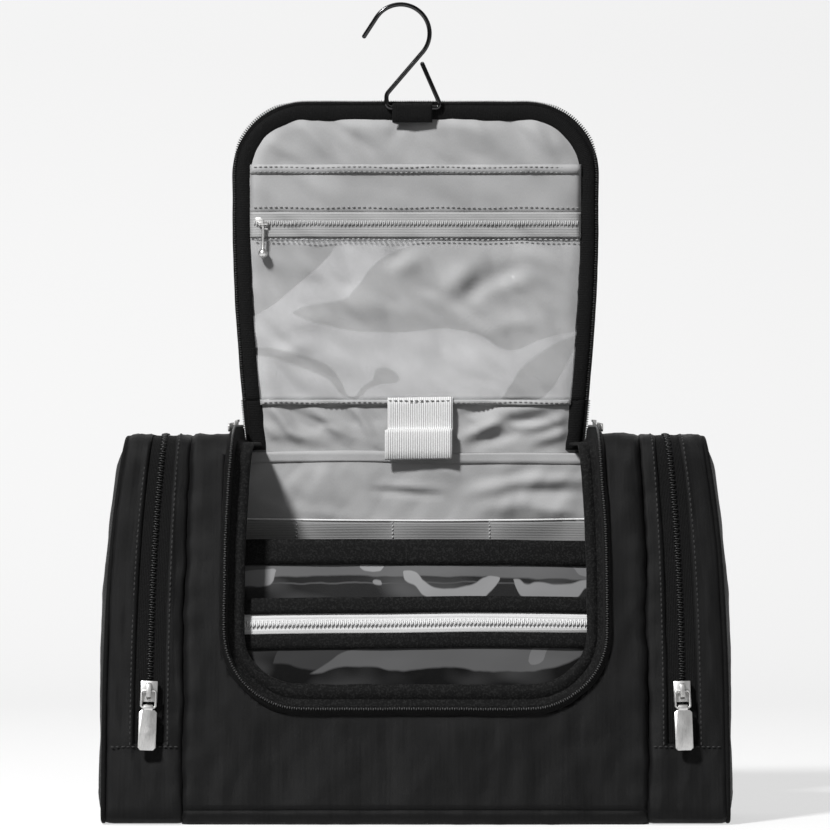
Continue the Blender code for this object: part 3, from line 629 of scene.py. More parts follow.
def greyLining(name="greyLining", bright=1.0):
    f = Finish(name)
    cloth, place = f.cloth(), f.place()
    u, v, _ = f.parts(cloth)
    twill = ((u + v) * (math.tau / liningLook["threadPitch"])).sine()
    thread = f.noise(f.stretched(cloth, 2600, 900, 1), 1.0, 2, 0.6)
    cloud = f.noise(place, 34, 4, 0.55)
    crease = f.noise(place, 120, 4, 0.6, 0.8)
    tone = f.spread(cloud, 0.3, 0.72, 0.1, 0.9) * 0.6 + f.spread(thread, 0.3, 0.7, 0.0,
                                                                 0.35) + f.spread(twill, -1, 1, 0.0, 0.08)
    dark, light = ([c * bright for c in liningLook[key][:3]] + [1] for key in ("dark", "light"))
    colour = f.blend(tone.clamped(), dark, light)
    height = twill * 0.12 + thread * 0.25 + crease * 0.6
    return f.shade({
        "Base Color": colour, "Roughness": f.spread(thread, 0.3, 0.7, 0.5, 0.62),
        "Normal": f.bump(height, 0.42, 0.0005), "Sheen Weight": 0.05, "Sheen Roughness": 0.4,
        "Specular IOR Level": 0.4})


def webbing(name, dark, light, ribsAlong, pitch, depth=0.8):
    # woven tape or elastic whose ribs run along or across it
    f = Finish(name)
    cloth, place = f.cloth(), f.place()
    u, v, _ = f.parts(cloth)
    rib = ((v if ribsAlong else u) * (math.tau / pitch)).sine()
    weft = ((u if ribsAlong else v) * (math.tau / (0.5 * mm))).sine()
    fuzz = f.noise(place, 1500, 2, 0.6)
    tone = f.spread(rib, -0.9, 0.7, 0.0, 0.62) + f.spread(fuzz, 0.35, 0.7, 0.0, 0.28) + f.spread(weft, -1,
                                                                                                 1, 0, 0.1)
    colour = f.blend(tone.clamped(), grey(dark), grey(light))
    height = rib * depth + weft * 0.15 + fuzz * 0.3
    return f.shade({
        "Base Color": colour, "Roughness": f.spread(fuzz, 0.3, 0.7, 0.55, 0.7),
        "Normal": f.bump(height, 0.55, 0.0004), "Sheen Weight": 0.04, "Specular IOR Level": 0.35})


# painted reflections of the light on the clear vinyl, left out of clear areas: each clear area lies between
# two drawn lines, in shares of the window's width and height, the lower line first
windowLook = {
    "tint": (0.76, 0.76, 0.77, 1),
    "clear": 0.02,
    "lit": 0.17,
    "wobble": 0.012,
    "frame": (-0.086, 0.0215, 0.172, 0.0850),   # left, low, width, height in metres
    "bare": (
        # the broad clear shape, and the one at its upper left
        (((0.0, 0.60), (0.12, 0.56), (0.13, 0.535), (0.22, 0.46), (0.45, 0.42), (0.60, 0.44), (0.70, 0.385),
          (0.78, 0.31), (0.87, 0.37), (1.0, 0.43)),
         ((0.0, 0.40), (0.12, 0.535), (0.16, 0.58), (0.28, 0.63), (0.33, 0.72), (0.37, 0.83), (0.47, 0.95),
          (0.58, 1.0), (1.0, 1.0))),
        (((0.0, 0.50), (0.07, 0.58), (0.13, 0.68), (0.19, 0.78), (0.24, 0.88), (0.28, 0.98), (0.30, 1.0),
          (1.0, 1.0)),
         ((0.0, 1.0), (0.27, 0.97), (0.30, 0.99), (0.32, 0.9), (1.0, 0.6))),
        # the long low wing with its curled end, and the wing at the right
        (((0.0, 0.285), (0.10, 0.25), (0.17, 0.20), (0.24, 0.13), (0.31, 0.02), (0.335, 0.03), (0.36, 0.08),
          (0.40, 0.105), (0.445, 0.115), (0.46, 0.2), (1.0, 0.4)),
         ((0.0, 0.34), (0.08, 0.33), (0.17, 0.285), (0.23, 0.235), (0.28, 0.13), (0.31, 0.045),
          (0.34, 0.10),
          (0.375, 0.155), (0.38, 0.20), (0.405, 0.215), (0.445, 0.17), (0.46, 0.09), (0.47, 0.0),
          (1.0, 0.0))),
        (((0.0, 0.2), (0.735, 0.02), (0.86, 0.01), (0.90, 0.06), (0.94, 0.18), (0.97, 0.30), (1.0, 0.40)),
         ((0.0, 0.0), (0.735, 0.0), (0.78, 0.10), (0.82, 0.22), (0.87, 0.30), (0.93, 0.37), (1.0, 0.42))),
    ),
}


def clearVinyl(name, look):
    # clear vinyl over a pale lining: it only shows where painted reflections of the light and painted glints
    # lie on it
    f = Finish(name)
    place = f.place()
    u, v, _ = f.parts(f.cloth())
    left, low, width, height = look["frame"]
    wander = f.noise(place, 38, 2, 0.5) - 0.5
    across = (u - left) * (1 / width) + wander * look["wobble"]
    up = (v - low) * (1 / height) + wander * look["wobble"] * 2.5
    bare = None
    for lower, upper in look["bare"]:
        area = f.between(across, up, lower, upper, 0.012)
        bare = area if bare is None else bare.maths("MAXIMUM", area)
    # painted reflection: the vinyl shows the light outside the clear areas, brighter in some places than
    # others, with small painted glints
    paintedReflectionCloud = f.spread(f.noise(place, 24, 3, 0.55), 0.3, 0.7, 0.8, 1.15)
    glint = f.spread(f.noise(place, 95, 2, 0.5, 1.5), 0.66, 0.70, 0.0, 0.03)
    lit = (1.0 - bare) * paintedReflectionCloud * look["lit"] + look["clear"] + glint
    fine = f.noise(place, 260, 3, 0.5)
    return f.shade({
        "Base Color": look["tint"], "Roughness": f.spread(fine, 0.3, 0.7, 0.10, 0.16),
        "Alpha": lit.clamped(), "IOR": 1.5, "Specular IOR Level": 0.35,
        "Normal": f.bump(f.noise(place, 70, 3, 0.5), 0.2, 0.0006)})


# the pouches' vinyl is drawn nearly opaque and dark, painted shade for the shadowed inside behind it; here
# the drawn areas are painted reflections of the light, each with its own brightness
rearVinylLook = {
    "frame": (-0.0915, 0.1085, 0.183, 0.0200),
    "dark": (0.0035, 0.0035, 0.0036, 1),
    "pale": (0.62, 0.62, 0.63, 1),
    "cover": 0.90,
    "base": 0.035,
    "cloud": 0.16,
    "lit": (
        (0.24, ((0.0, 0.42), (0.08, 0.42), (0.105, 0.55), (0.12, 0.9), (1.0, 1.0)),
         ((0.0, 0.80), (0.10, 0.92), (0.115, 0.75), (0.13, 0.5), (1.0, 0.0))),
        (0.10, ((0.0, 0.62), (0.3, 0.68), (0.6, 0.66), (1.0, 0.62)), ((0.0, 1.0), (1.0, 1.0))),
        (0.27, ((0.0, 1.0), (0.33, 0.92), (0.36, 0.78), (0.40, 0.80), (0.42, 0.95), (1.0, 1.0)),
         ((0.0, 0.0), (0.33, 0.3), (0.345, 1.0), (0.41, 1.0), (0.43, 0.0), (1.0, 0.0))),
        (0.20, ((0.0, 1.0), (0.37, 0.9), (0.385, 0.48), (0.405, 0.46), (0.42, 0.9), (1.0, 1.0)),
         ((0.0, 0.0), (0.37, 0.3), (0.39, 0.66), (0.405, 0.64), (0.42, 0.3), (1.0, 0.0))),
        (0.25,
         ((0.0, 1.0), (0.455, 0.9), (0.47, 0.62), (0.50, 0.42), (0.53, 0.12), (0.545, 0.08), (0.68, 0.08),
                (0.70, 0.22), (0.735, 0.6), (0.745, 0.9), (1.0, 1.0)),
         ((0.0, 0.0), (0.455, 0.6), (0.47, 0.88), (0.49, 0.86), (0.52, 0.60), (0.58, 0.42), (0.64, 0.46),
          (0.69, 0.68), (0.72, 0.74), (0.74, 0.66), (0.75, 0.3), (1.0, 0.0))),
        (0.22,
         ((0.0, 1.0), (0.755, 0.8), (0.78, 0.35), (0.81, 0.12), (0.93, 0.12), (0.97, 0.4), (1.0, 0.5)),
         ((0.0, 0.0), (0.755, 0.5), (0.78, 0.68), (0.81, 0.55), (0.84, 0.62), (0.89, 0.54), (0.93, 0.58),
          (0.96, 0.66), (1.0, 0.72))),
        (0.17,
         ((0.0, 1.0), (0.70, 1.0), (0.74, 0.92), (0.78, 0.96), (0.92, 0.98), (0.96, 0.72), (1.0, 0.68)),
         ((0.0, 0.0), (0.68, 0.0), (0.70, 1.0), (1.0, 1.0))),
        (0.16, ((0.0, 0.50), (0.5, 0.50), (1.0, 0.52)), ((0.0, 0.555), (0.5, 0.56), (1.0, 0.57))),
    ),
}
frontVinylLook = {
    "frame": (-0.0915, 0.0640, 0.183, 0.0240),
    "dark": (0.0020, 0.0020, 0.0021, 1),
    "pale": (0.62, 0.62, 0.63, 1),
    "cover": 0.94,
    "base": 0.01,
    "cloud": 0.10,
    "lit": (
        (0.085,
         ((0.0, 1.0), (0.18, 0.6), (0.21, 0.42), (0.28, 0.50), (0.38, 0.52), (0.44, 0.44), (0.55, 0.50),
                (0.66, 0.46), (0.78, 0.40), (0.87, 0.48), (0.95, 0.72), (1.0, 1.0)),
         ((0.0, 0.0), (0.18, 0.3), (0.21, 0.46), (0.26, 0.70), (0.32, 0.95), (0.36, 1.0), (1.0, 1.0))),
        (0.14, ((0.0, 1.0), (0.8, 0.86), (0.82, 0.55), (0.85, 0.62), (0.87, 0.90), (1.0, 1.0)),
         ((0.0, 0.0), (0.8, 0.5), (0.83, 1.0), (0.87, 1.0), (0.89, 0.5), (1.0, 0.0))),
        (0.03, ((0.0, 0.60), (0.13, 0.62), (0.2, 0.5), (0.30, 0.60), (0.33, 1.0), (1.0, 1.0)),
         ((0.0, 0.5), (0.10, 0.6), (0.13, 1.0), (0.32, 1.0), (0.34, 0.3), (1.0, 0.0))),
    ),
}


def pouchVinyl(name, look):
    f = Finish(name)
    place = f.place()
    u, v, _ = f.parts(f.cloth())
    left, low, width, height = look["frame"]
    wander = f.noise(place, 60, 2, 0.5) - 0.5
    across = (u - left) * (1 / width) + wander * 0.02
    up = (v - low) * (1 / height) + wander * 0.16
    # a faint painted cloud of light: the lit lining seen through the vinyl
    cloud = f.spread(f.noise(f.stretched(place, 18, 30, 30), 1.0, 2, 0.5), 0.50, 0.72, 0.0, look["cloud"])
    tone = cloud + look["base"]
    # painted reflections of the light in the drawn areas
    for bright, lower, upper in look["lit"]:
        tone = tone.maths("MAXIMUM",
                          f.between(across, up, lower, upper, 0.05) * bright * 2.2 + look["base"])
    fine = f.noise(place, 260, 3, 0.5)
    # dark and nearly opaque: painted shade for the shadowed inside of the pouch
    return f.shade({
        "Base Color": f.blend(tone.clamped(), look["dark"], look["pale"]),
        "Roughness": f.spread(fine, 0.3, 0.7, 0.14, 0.2), "Alpha": look["cover"], "IOR": 1.5,
        "Specular IOR Level": 0.3, "Normal": f.bump(f.noise(place, 60, 2, 0.5), 0.2, 0.0006)})


def coilNylon(name, dark, light, rough):
    f = Finish(name)
    place = f.place()
    grain = f.noise(place, 2200, 3, 0.6)
    colour = f.blend(f.spread(grain, 0.35, 0.7, 0.0, 1.0), grey(dark), grey(light))
    return f.shade({"Base Color": colour, "Roughness": f.spread(grain, 0.3, 0.7, rough, rough + 0.14),
                    "Normal": f.bump(grain, 0.3, 0.0002), "Specular IOR Level": 0.55})


def metal(name, tone, rough, grain, stretch, wear=0.0):
    f = Finish(name)
    place = f.place()
    brush = f.noise(f.stretched(place, *stretch), 1.0, 4, 0.65)
    patch = f.noise(place, 260, 3, 0.5)
    scratch = f.spread(brush, 0.58, 0.72, 0.0, 1.0)
    dark = tuple(c * (1 - grain) for c in tone) + (1,)
    colour = f.blend(f.spread(brush, 0.3, 0.7, 0.0, 1.0), dark, (*tone, 1))
    colour = f.blend(f.spread(patch, 0.55, 0.8, 0.0, wear), colour, (0.08, 0.078, 0.075, 1))
    return f.shade({"Base Color": colour, "Metallic": 1.0,
                    "Roughness": f.spread(patch, 0.3, 0.7, rough, rough + 0.08) + scratch * 0.05,
                    "Normal": f.bump(brush, 0.06, 0.00005)})


def thread(name, dark, light):
    f = Finish(name)
    place = f.place()
    twist = f.noise(f.stretched(place, 1.0, 1.0, 1.0), 3000, 2, 0.6)
    colour = f.blend(f.spread(twist, 0.35, 0.65, 0.0, 1.0), grey(dark), grey(light))
    return f.shade({"Base Color": colour, "Roughness": f.spread(twist, 0.3, 0.7, 0.55, 0.75),
                    "Normal": f.bump(twist, 0.4, 0.0002), "Sheen Weight": 0.15})


nylon = blackNylon()
trim = ribbedTrim()
velcro = ribbedTrim("loopBand", 0.2, 2.2)
lining = greyLining()
# the side walls inside: the grey lining at a tenth of its brightness, painted shade for the dark ends of the
# inside
sideLining = greyLining("sideLining", 0.10)
keeperWebbing = webbing("keeperWebbing", 0.60, 0.98, False, 1.15 * mm)
zipTapeGrey = webbing("zipTapeGrey", 0.36, 0.46, True, 1.3 * mm, 0.15)
zipTapeWhite = webbing("zipTapeWhite", 0.66, 0.84, True, 1.6 * mm, 0.1)
elasticWebbing = webbing("elasticWebbing", 0.25, 0.36, True, 0.9 * mm, 0.25)
vinyl = clearVinyl("clearVinyl", windowLook)
rearVinyl = pouchVinyl("rearVinyl", rearVinylLook)
frontVinyl = pouchVinyl("frontVinyl", frontVinylLook)
blackCoil = coilNylon("blackCoil", 0.003, 0.016, 0.36)
# the opening's coil: black nylon drawn far lighter than blackCoil, painted highlight on its teeth
rimCoil = coilNylon("rimCoil", 0.03, 0.20, 0.30)
greyCoil = coilNylon("greyCoil", 0.46, 0.60, 0.5)
whiteCoil = coilNylon("whiteCoil", 0.80, 0.95, 0.5)
steel = metal("brushedSteel", (0.78, 0.775, 0.765), 0.36, 0.30, (5200, 900, 500), 0.10)
darkSteel = metal("darkSteel", (0.060, 0.060, 0.061), 0.12, 0.25, (900, 900, 900), 0.05)
blackThread = thread("blackThread", 0.006, 0.024)
greyThread = thread("greyThread", 0.20, 0.34)
paleThread = thread("paleThread", 0.34, 0.52)
print("finishes made")


# the outer shell of the bag

shellCloth = {"thickness": 0.9 * mm, "cell": (3.0 * mm, 3.0 * mm), "held": "stretched",
              "restsOn": ("base_panel",)}
shellRelief = {"billow": 1.5 * mm, "crease": 1.4 * mm, "fine": 0.6 * mm, "seamDepth": 1.5 * mm,
               "pucker": 0.5 * mm,
               "wander": 1.1 * mm}
seamX = bagShape["seamHalfWidth"]
baseMiddle = sum(section.run(2)) / 2
backTop = section.run(3)[1]
frontSeamStart = backTop - section.total - (section.at(backTop)[0].y - hingeZ)


def openingGap(x, s):
    # distance outside the opening's edge, negative inside it
    length, corner = lidShape["openingLength"], lidShape["corner"]
    straight = length - corner
    if s <= straight:
        return abs(x) - halfWidth(max(s, 0.0))
    centre = lidShape["halfWidth"] - corner
    if abs(x) <= centre:
        return s - length
    return math.hypot(abs(x) - centre, s - straight) - corner


def shellNoise(x, s):
    # broad folds, creases that run mostly down the cloth, and a fine crumple
    folds = softNoise(x * 16, s * 9, 3.1) * shellRelief["billow"]
    creases = (1 - 2.2 * abs(softNoise(x * 42, s * 17, 7.7, 4))) * shellRelief["crease"] * 0.55
    fine = softNoise(x * 130, s * 60, 1.4, 3) * shellRelief["fine"]
    return folds + creases + fine


def seamPinch(distance, s):
    near = abs(distance)
    groove = -shellRelief["seamDepth"] * math.exp(-(near / (1.9 * mm)) ** 2)
    gather = math.sin(s / (2.9 * mm) + 2.2 * softNoise(s * 90, distance * 20, 5.0)) * shellRelief["pucker"]
    return groove + gather * math.exp(-near / (6 * mm))


def panelRelief(x, s):
    opening = openingGap(x, s) if -0.01 < s < 0.2 else 0.1
    calm = smooth(3.2 * mm, 15 * mm, opening)
    onBase = section.run(2)[0] - 0.004 < s < section.run(2)[1] + 0.004
    lift = shellNoise(x, s) * (0.12 if onBase else 1.0) * calm
    return min(lift + seamPinch(seamX - abs(x), s),
               0.0) * 0.35 if onBase else lift + seamPinch(seamX - abs(x), s)


def besideSeam(x, s):
    # the long seams wander a little instead of running dead straight
    side = 1 if x > 0 else -1
    drift = softNoise(s * 26, side * 7.0, 2.0) + 0.6 * softNoise(s * 90, side * 3.0, 5.0)
    return x + drift * shellRelief["wander"] * math.exp(-((abs(x) - seamX) / (9 * mm)) ** 2)


def placePanel(x, s):
    return onSkin(besideSeam(x, s), s, panelRelief(x, s))


openingEdge = EdgePath(lidShape["openingLength"], 0.0)
notchGrow = 4.2 * mm
notchEdge = EdgePath(lidShape["openingLength"], frontSeamStart)
notch = [notchEdge.at(distance, notchGrow)[:2] for distance in steps(0.0, notchEdge.total, 64)]
frontEnd, backStart = section.run(1)[1], section.run(3)[0]
outline = [(seamX, frontSeamStart), (seamX, frontEnd), (-seamX, frontEnd), (-seamX, frontSeamStart)]
bodyFront = clothPiece("bodyFront", [outline + notch[::-1]], placePanel, shellCloth, nylon)
bodyBase = clothPiece("bodyBase", [rectangle(-seamX, seamX, frontEnd, backStart)], placePanel, shellCloth,
                      nylon)
bodyBack = clothPiece("bodyBack", [rectangle(-seamX, seamX, backStart, frontSeamStart + section.total)],
                      placePanel, shellCloth, nylon)
for piece, node in ((bodyFront, "front_panel"), (bodyBase, "base_panel"), (bodyBack, "back_panel")):
    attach(piece, "bag")
    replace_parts(piece, node)
print("shell panels laid")

endShape = {
    "zipX": 0.134,
    "slotHalf": 7.4 * mm,
    "slotStart": 0.012,
    "slotEnd": frontS(0.040),
    "pipingX": 0.1566,
    "pipingRadius": 1.35 * mm,
    "bulge": 5.0 * mm,
}


def gussetRelief(x, s):
    onBase = section.run(2)[0] - 0.004 < s < section.run(2)[1] + 0.004
    fromSlot = abs(abs(x) - endShape["zipX"]) - endShape["slotHalf"]
    besideZip = endShape["slotStart"] - 0.004 < s < endShape["slotEnd"] + 0.004
    calm = smooth(0.0, 6 * mm, fromSlot) if besideZip else 1.0
    rise = shellNoise(x * 1.3, s) * (0.12 if onBase else 0.85) * (0.25 + 0.75 * calm)
    rise += seamPinch(abs(x) - seamX, s) * (0.35 if onBase else 1.0)
    rise -= 0.9 * mm * math.exp(-((endShape["pipingX"] - abs(x)) / (2.2 * mm)) ** 2)
    if besideZip:
        rise += 0.7 * mm * math.exp(-((fromSlot - 1.6 * mm) / (1.5 * mm)) ** 2)
    fromCross = s - endShape["slotEnd"] - 3.2 * mm
    rise += (0.7 * math.exp(-((fromCross + 1.8 * mm) / (1.2 * mm)) ** 2)
             - 1.0 * math.exp(-(fromCross / (0.9 * mm)) ** 2)) * mm
    return min(rise, 0.0) if onBase else rise


def placeGusset(x, s):
    return onSkin(besideSeam(x, s), s, gussetRelief(x, s))


def endOutline(inset):
    return [tuple(point - outward * inset) for point, outward in
            (section.at(section.total * i / 72) for i in range(72))]


def endSheet(name, profile, cell, side, across, inward, material, thickness):
    # a sheet across the bag, x given by across(y, z), facing out of the bag or in to its middle
    bm = flatFace([profile])
    cutGrid(bm, cell, cell)
    area = drawFlat(bm)
    for vert in bm.verts:
        y, z = vert.co.xy
        vert.co = (side * across(y, z), y, z)
    if (side > 0) == inward:
        bmesh.ops.reverse_faces(bm, faces=bm.faces)
    return thicken(keepMesh(name, bm, material), thickness), area


def endDome(y, z, middle):
    # the end panel, domed outward inside its piping
    reach = 1 - min(1.0, (middle / 0.020)) if middle < 0.020 else 0.0
    lift = endShape["bulge"] * (1 - reach ** 2.2) * (0.75 + 0.25 * softNoise(y * 20, z * 14, 2.0))
    return lift + 0.5 * mm * softNoise(y * 70, z * 40, 9.0)


def domed(y, z):
    near = min(math.dist((y, z), spot) for spot in profile)
    return leanIn(endShape["pipingX"] - 0.4 * mm, z) + endDome(y, z, near)


for name, side in sides.items():
    gusset = rectangle(seamX, endShape["pipingX"], baseMiddle - section.total, baseMiddle)
    zipX, half = endShape["zipX"], endShape["slotHalf"]
    slot = rectangle(zipX - half, zipX + half, endShape["slotStart"], endShape["slotEnd"])
    loops = [[(side * x, s) for x, s in (loop if side > 0 else loop[::-1])] for loop in (gusset, slot)]
    values = dict(shellCloth, cell=(2.6 * mm, 3.2 * mm))
    endGusset = clothPiece("endGusset." + name, loops, placeGusset, values, nylon)
    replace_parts(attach(endGusset, "bag"), "end_gusset_" + name)

    # the zip's tape lies a little below the cloth, with a line of chain down its middle
    tapeEdge = half + 1.5 * mm
    tape = rectangle(zipX - tapeEdge, zipX + tapeEdge, endShape["slotStart"] - 0.002,
                     endShape["slotEnd"] + 0.002)
    values = {"thickness": 0.5 * mm, "cell": (1.9 * mm, 3.5 * mm)}
    endTape = clothPiece("endZipTape." + name,
                         [[(side * x, s) for x, s in (tape if side > 0 else tape[::-1])]],
                         lambda x,
                         s: onSkin(x, s, -0.9 * mm + 0.25 * mm * math.exp(-((abs(x) - zipX) / 0.002) ** 2)),
                         values, trim)
    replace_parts(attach(endTape, "bag"), "end_zip_tape_" + name)
    line = [(onSkin(side * zipX, s, 0.55 * mm), skinNormal(s))
            for s in steps(endShape["slotStart"], endShape["slotEnd"], 90)]
    chain = zipChain("endZipChain." + name, line,
                     {"pitch": 1.25 * mm, "half": 1.75 * mm, "height": 0.75 * mm}, blackCoil)
    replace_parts(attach(chain, "bag"), "end_zip_coil_" + name)
    rows = []
    for offset in (-half - 2.0 * mm, half + 2.0 * mm):
        rows.append([(onSkin(side * (zipX + offset), s, gussetRelief(zipX + offset, s)), skinNormal(s))
                     for s in steps(endShape["slotStart"], endShape["slotEnd"] + 0.002, 60)])
    crossS = endShape["slotEnd"] + 1.6 * mm
    across = [(onSkin(side * x, crossS, gussetRelief(x, crossS)), skinNormal(crossS))
              for x in steps(seamX + 2.5 * mm, endShape["pipingX"] - 2.5 * mm, 16)]
    sewn = stitches("endZipStitches." + name, rows + [across], blackThread)
    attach(sewn, "bag")

    # piping round the end, and the domed end panel inside it
    turns = 150
    ring = [onSkin(side * endShape["pipingX"], section.total * i / turns, -1.36 * mm) for i in range(turns)]
    pipe = wire("piping." + name, ring, endShape["pipingRadius"], trim, closed=True, around=10)
    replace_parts(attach(pipe, "bag"), "piping_" + name)

    profile = endOutline(1.3 * mm)
    endPanel, area = endSheet("endPanel." + name, profile, 3.4 * mm, side, domed, False, nylon, 0.9 * mm)
    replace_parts(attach(endPanel, "bag"), "end_panel_" + name)
print("end pockets laid")


# the opening: its standing zip lip, chain and the binding inside it

lipProfile = (   # how far out of the opening's edge, and how far out of the skin
    (4.9, -0.5), (4.8, 0.9), (4.5, 2.1), (3.9, 3.2), (3.1, 4.0), (2.3, 4.3), (1.6, 4.1), (1.2, 3.3),
              (1.0, 2.2),
    (0.9, 0.8), (0.7, -0.8), (0.3, -2.2))


def openingSpot(distance, grow, n, wander=0.0):
    x, s = openingEdge.at(distance, grow)[:2]
    return onSkin(x + wander, s, n)


def lipWander(distance):
    return 0.35 * mm * softNoise(distance * 26, 4.0)


lipRows = []
lipSteps = 230
for step in range(lipSteps + 1):
    distance = openingEdge.total * step / lipSteps
    wave = lipWander(distance)
    swell = 1 + 0.10 * softNoise(distance * 60, 8.0)
    lipRows.append([openingSpot(distance, grow * mm * swell + wave, n * mm) for grow, n in lipProfile])
openingLip = band("openingLip", lipRows, {"thickness": 0.45 * mm}, trim)
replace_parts(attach(openingLip, "bag"), "opening_zip_tape")

chainLine = []
for step in range(lipSteps * 2 + 1):
    distance = openingEdge.total * step / lipSteps / 2
    x, s = openingEdge.at(distance, 2.1 * mm + lipWander(distance))[:2]
    chainLine.append((onSkin(x, s, 4.75 * mm), skinNormal(s)))
openingChain = zipChain("openingChain", chainLine,
                        {"pitch": 1.2 * mm, "half": 0.75 * mm, "height": 0.75 * mm, "duty": 0.24}, rimCoil)
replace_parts(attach(openingChain, "bag"), "opening_zip_coil")

# a ribbed binding runs round inside the opening, broader across the bottom
bindingRows = []
for step in range(151):
    distance = openingEdge.total * step / 150
    forward = openingEdge.at(distance)[3]
    broad = 8.6 + 3.6 * max(forward, 0.0) ** 2
    wave = 0.5 * softNoise(distance * 40, 12.0)
    row = []
    for share, n in ((0.0, -1.6), (0.14, -2.9), (0.34, -3.4), (0.36, -3.75), (0.38, -3.4), (0.7, -3.3),
                     (0.93, -3.7), (1.0, -4.6)):
        row.append(openingSpot(distance, (0.6 - (broad + wave) * share) * mm, (n + 0.25 * wave) * mm))
    bindingRows.append(row)
openingBinding = band("openingBinding", bindingRows, {"thickness": 0.5 * mm}, velcro)
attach(openingBinding, "bag")
print("opening laid")


# inside the bag

insideShape = {
    "panelY": 0.0388, "panelTop": 0.1862, "elasticTop": 0.1515, "elasticLow": 0.1375,
    "divisions": (-0.0613, -0.0118, 0.0381), "loopAt": 0.0795,
    "rearDepth": 0.024, "frontDepth": 0.012, "pouchHalf": 0.113,
}


# folds in the pocket panel, in mm: from x, z to x, z, width and height
panelFolds = (
    (-50, 181, -42, 160, 4.5, 1.3), (-30, 178, -18, 160, 4.0, 1.1), (-62, 172, -50, 158, 4.0, 1.0),
    (-22, 166, 12, 163.5, 1.5, -1.9), (-18, 169, 14, 167, 2.2, 1.2), (26, 165, 62, 172, 4.0, 2.0),
    (34, 171, 70, 179, 3.4, -1.4), (34, 156, 60, 160, 4.5, 2.4), (58, 158, 84, 154, 3.6, 2.6),
    (50, 166, 86, 165, 2.8, -1.7), (62, 171, 88, 172, 3.2, 2.2), (60, 181, 86, 180, 3.6, 1.6),
    (-58, 156, -34, 152, 3.0, 1.0), (8, 180, 24, 173, 3.6, 1.0), (-84, 160, -66, 156, 3.0, 0.9),
    (40, 150, 84, 148, 2.6, -1.2),
)


def backWave(x, z):
    fade = smooth(0.0, 0.012, insideShape["panelTop"] - z) * 0.8 + 0.2
    broad = softNoise(x * 15 + z * 9, z * 20 - x * 5, 6.0) * 1.3
    narrow = abs(softNoise(x * 34 - z * 22, z * 17, 2.0)) * 1.4
    return fade * ((broad + narrow + 0.3) * mm + folds(x, z, panelFolds))


def placeBackPanel(x, z):
    return Vector((x, insideShape["panelY"] - 0.6 * mm - max(backWave(x, z), -0.5 * mm), z))


backHalf = leanIn(seamX - 2 * mm, bagShape["height"]) - 3.2 * mm
backLining = clothPiece("backLining", [rectangle(-backHalf, backHalf, 0.006, 0.1893)],
                        lambda x, z: Vector((x, 0.0405, z)),
                        {"thickness": 0.5 * mm, "cell": 12 * mm, "held": "hung"}, lining)
topEdge = [(x,
            insideShape["panelTop"] + 0.9 * mm * math.sin(x * 31 + 2.0)
            - 1.6 * mm * math.exp(-((x - 0.01) / 0.03) ** 2))
           for x in steps(backHalf, -backHalf, 40)]
backPocket = clothPiece("backPocket", [[(backHalf, 0.016)] + topEdge + [(-backHalf, 0.016)]],
                        placeBackPanel,
                        {"thickness": 0.5 * mm, "cell": 1.7 * mm, "held": "hung",
                         "restsOn": ("back_lining",)}, lining)
hemRows = []
for drop in (0.5, 5.2):
    hemRows.append([(placeBackPanel(x, z - drop * mm) + Vector((0, -0.15 * mm, 0)), Vector((0, -1, 0)))
                    for x, z in topEdge[1:-1]])
hem = clothPiece("backPocketHem", [topEdge + [(x, z - 5.6 * mm) for x, z in reversed(topEdge)]],
                 lambda x, z: placeBackPanel(x, z) + Vector((0, -0.45 * mm, 0)),
                 {"thickness": 0.5 * mm, "cell": 2.8 * mm}, lining)
backStitches = stitches("backPocketStitches", hemRows[1:], greyThread)


def elasticWave(x):
    # the elastic is drawn in where it is sewn down and stands away between
    spots = (-backHalf,) + insideShape["divisions"] + (insideShape["loopAt"] - 0.003,
                                                       insideShape["loopAt"] + 0.003, backHalf)
    for left, right in zip(spots, spots[1:]):
        if left <= x <= right:
            share = (x - left) / (right - left)
            return math.sin(math.pi * share) ** 0.7 * min(2.6 * mm, (right - left) * 0.07)
    return 0.0


def placeElastic(x, z):
    stand = elasticWave(x)
    sag = 0.9 * mm * math.sin((x + 0.09) * 17)
    upper = smooth(insideShape["elasticLow"], insideShape["elasticTop"], z)
    return Vector((x, insideShape["panelY"] - 3.1 * mm - stand * upper, z - sag * upper))


elastic = clothPiece("backElastic",
                     [rectangle(-backHalf, backHalf, insideShape["elasticLow"], insideShape["elasticTop"])],
                     placeElastic,
                     {"thickness": 0.9 * mm, "cell": (2.2 * mm, 2.4 * mm), "held": "stretched",
                                    "restsOn": ("back_slip_pocket",)}, elasticWebbing)
piped = wire("elasticEdge",
             [placeElastic(x, insideShape["elasticTop"]) for x in steps(-backHalf, backHalf, 120)],
             0.55 * mm, keeperWebbing, around=8)
tacks = []
for x in insideShape["divisions"]:
    tacks.append([(placeElastic(x, z) + Vector((0, -0.3 * mm, 0)), Vector((0, -1, 0)))
                  for z in steps(insideShape["elasticTop"], insideShape["elasticLow"], 8)])
tackStitches = stitches("elasticTacks", tacks, paleThread, pitch=1.9 * mm, size=1.25)
for piece, names, finish in ((backLining, ("back_lining",), "grey_lining"),
                             (backPocket, ("back_slip_pocket",), "grey_lining"),
                             (hem, (), "grey_lining"), (backStitches, (), "grey_lining"),
                             (elastic, ("back_elastic",), "grey_zip"), (piped, (), "grey_zip"),
                             (tackStitches, (), "grey_zip")):
    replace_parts(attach(piece, "bag"), *names)


def wallAt(y, z):
    return leanIn(seamX - 1.6 * mm, z) - 0.7 * mm * abs(softNoise(y * 30, z * 22, side * 3.0))


for name, side in sides.items():
    wall, area = endSheet("sideWall." + name, endOutline(1.6 * mm), 6 * mm, side, wallAt, True, sideLining,
                          0.5 * mm)
    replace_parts(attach(wall, "bag"), "divider_" + name)


pouchShape = {
    "floor": 0.006, "rearBand": (0.1285, 0.1412), "upperBand": (0.1045, 0.1125), "zip": (0.0945, 0.1040),
    "lowerBand": (0.0868, 0.0945), "sag": 1.6 * mm, "bow": 1.4 * mm,
}


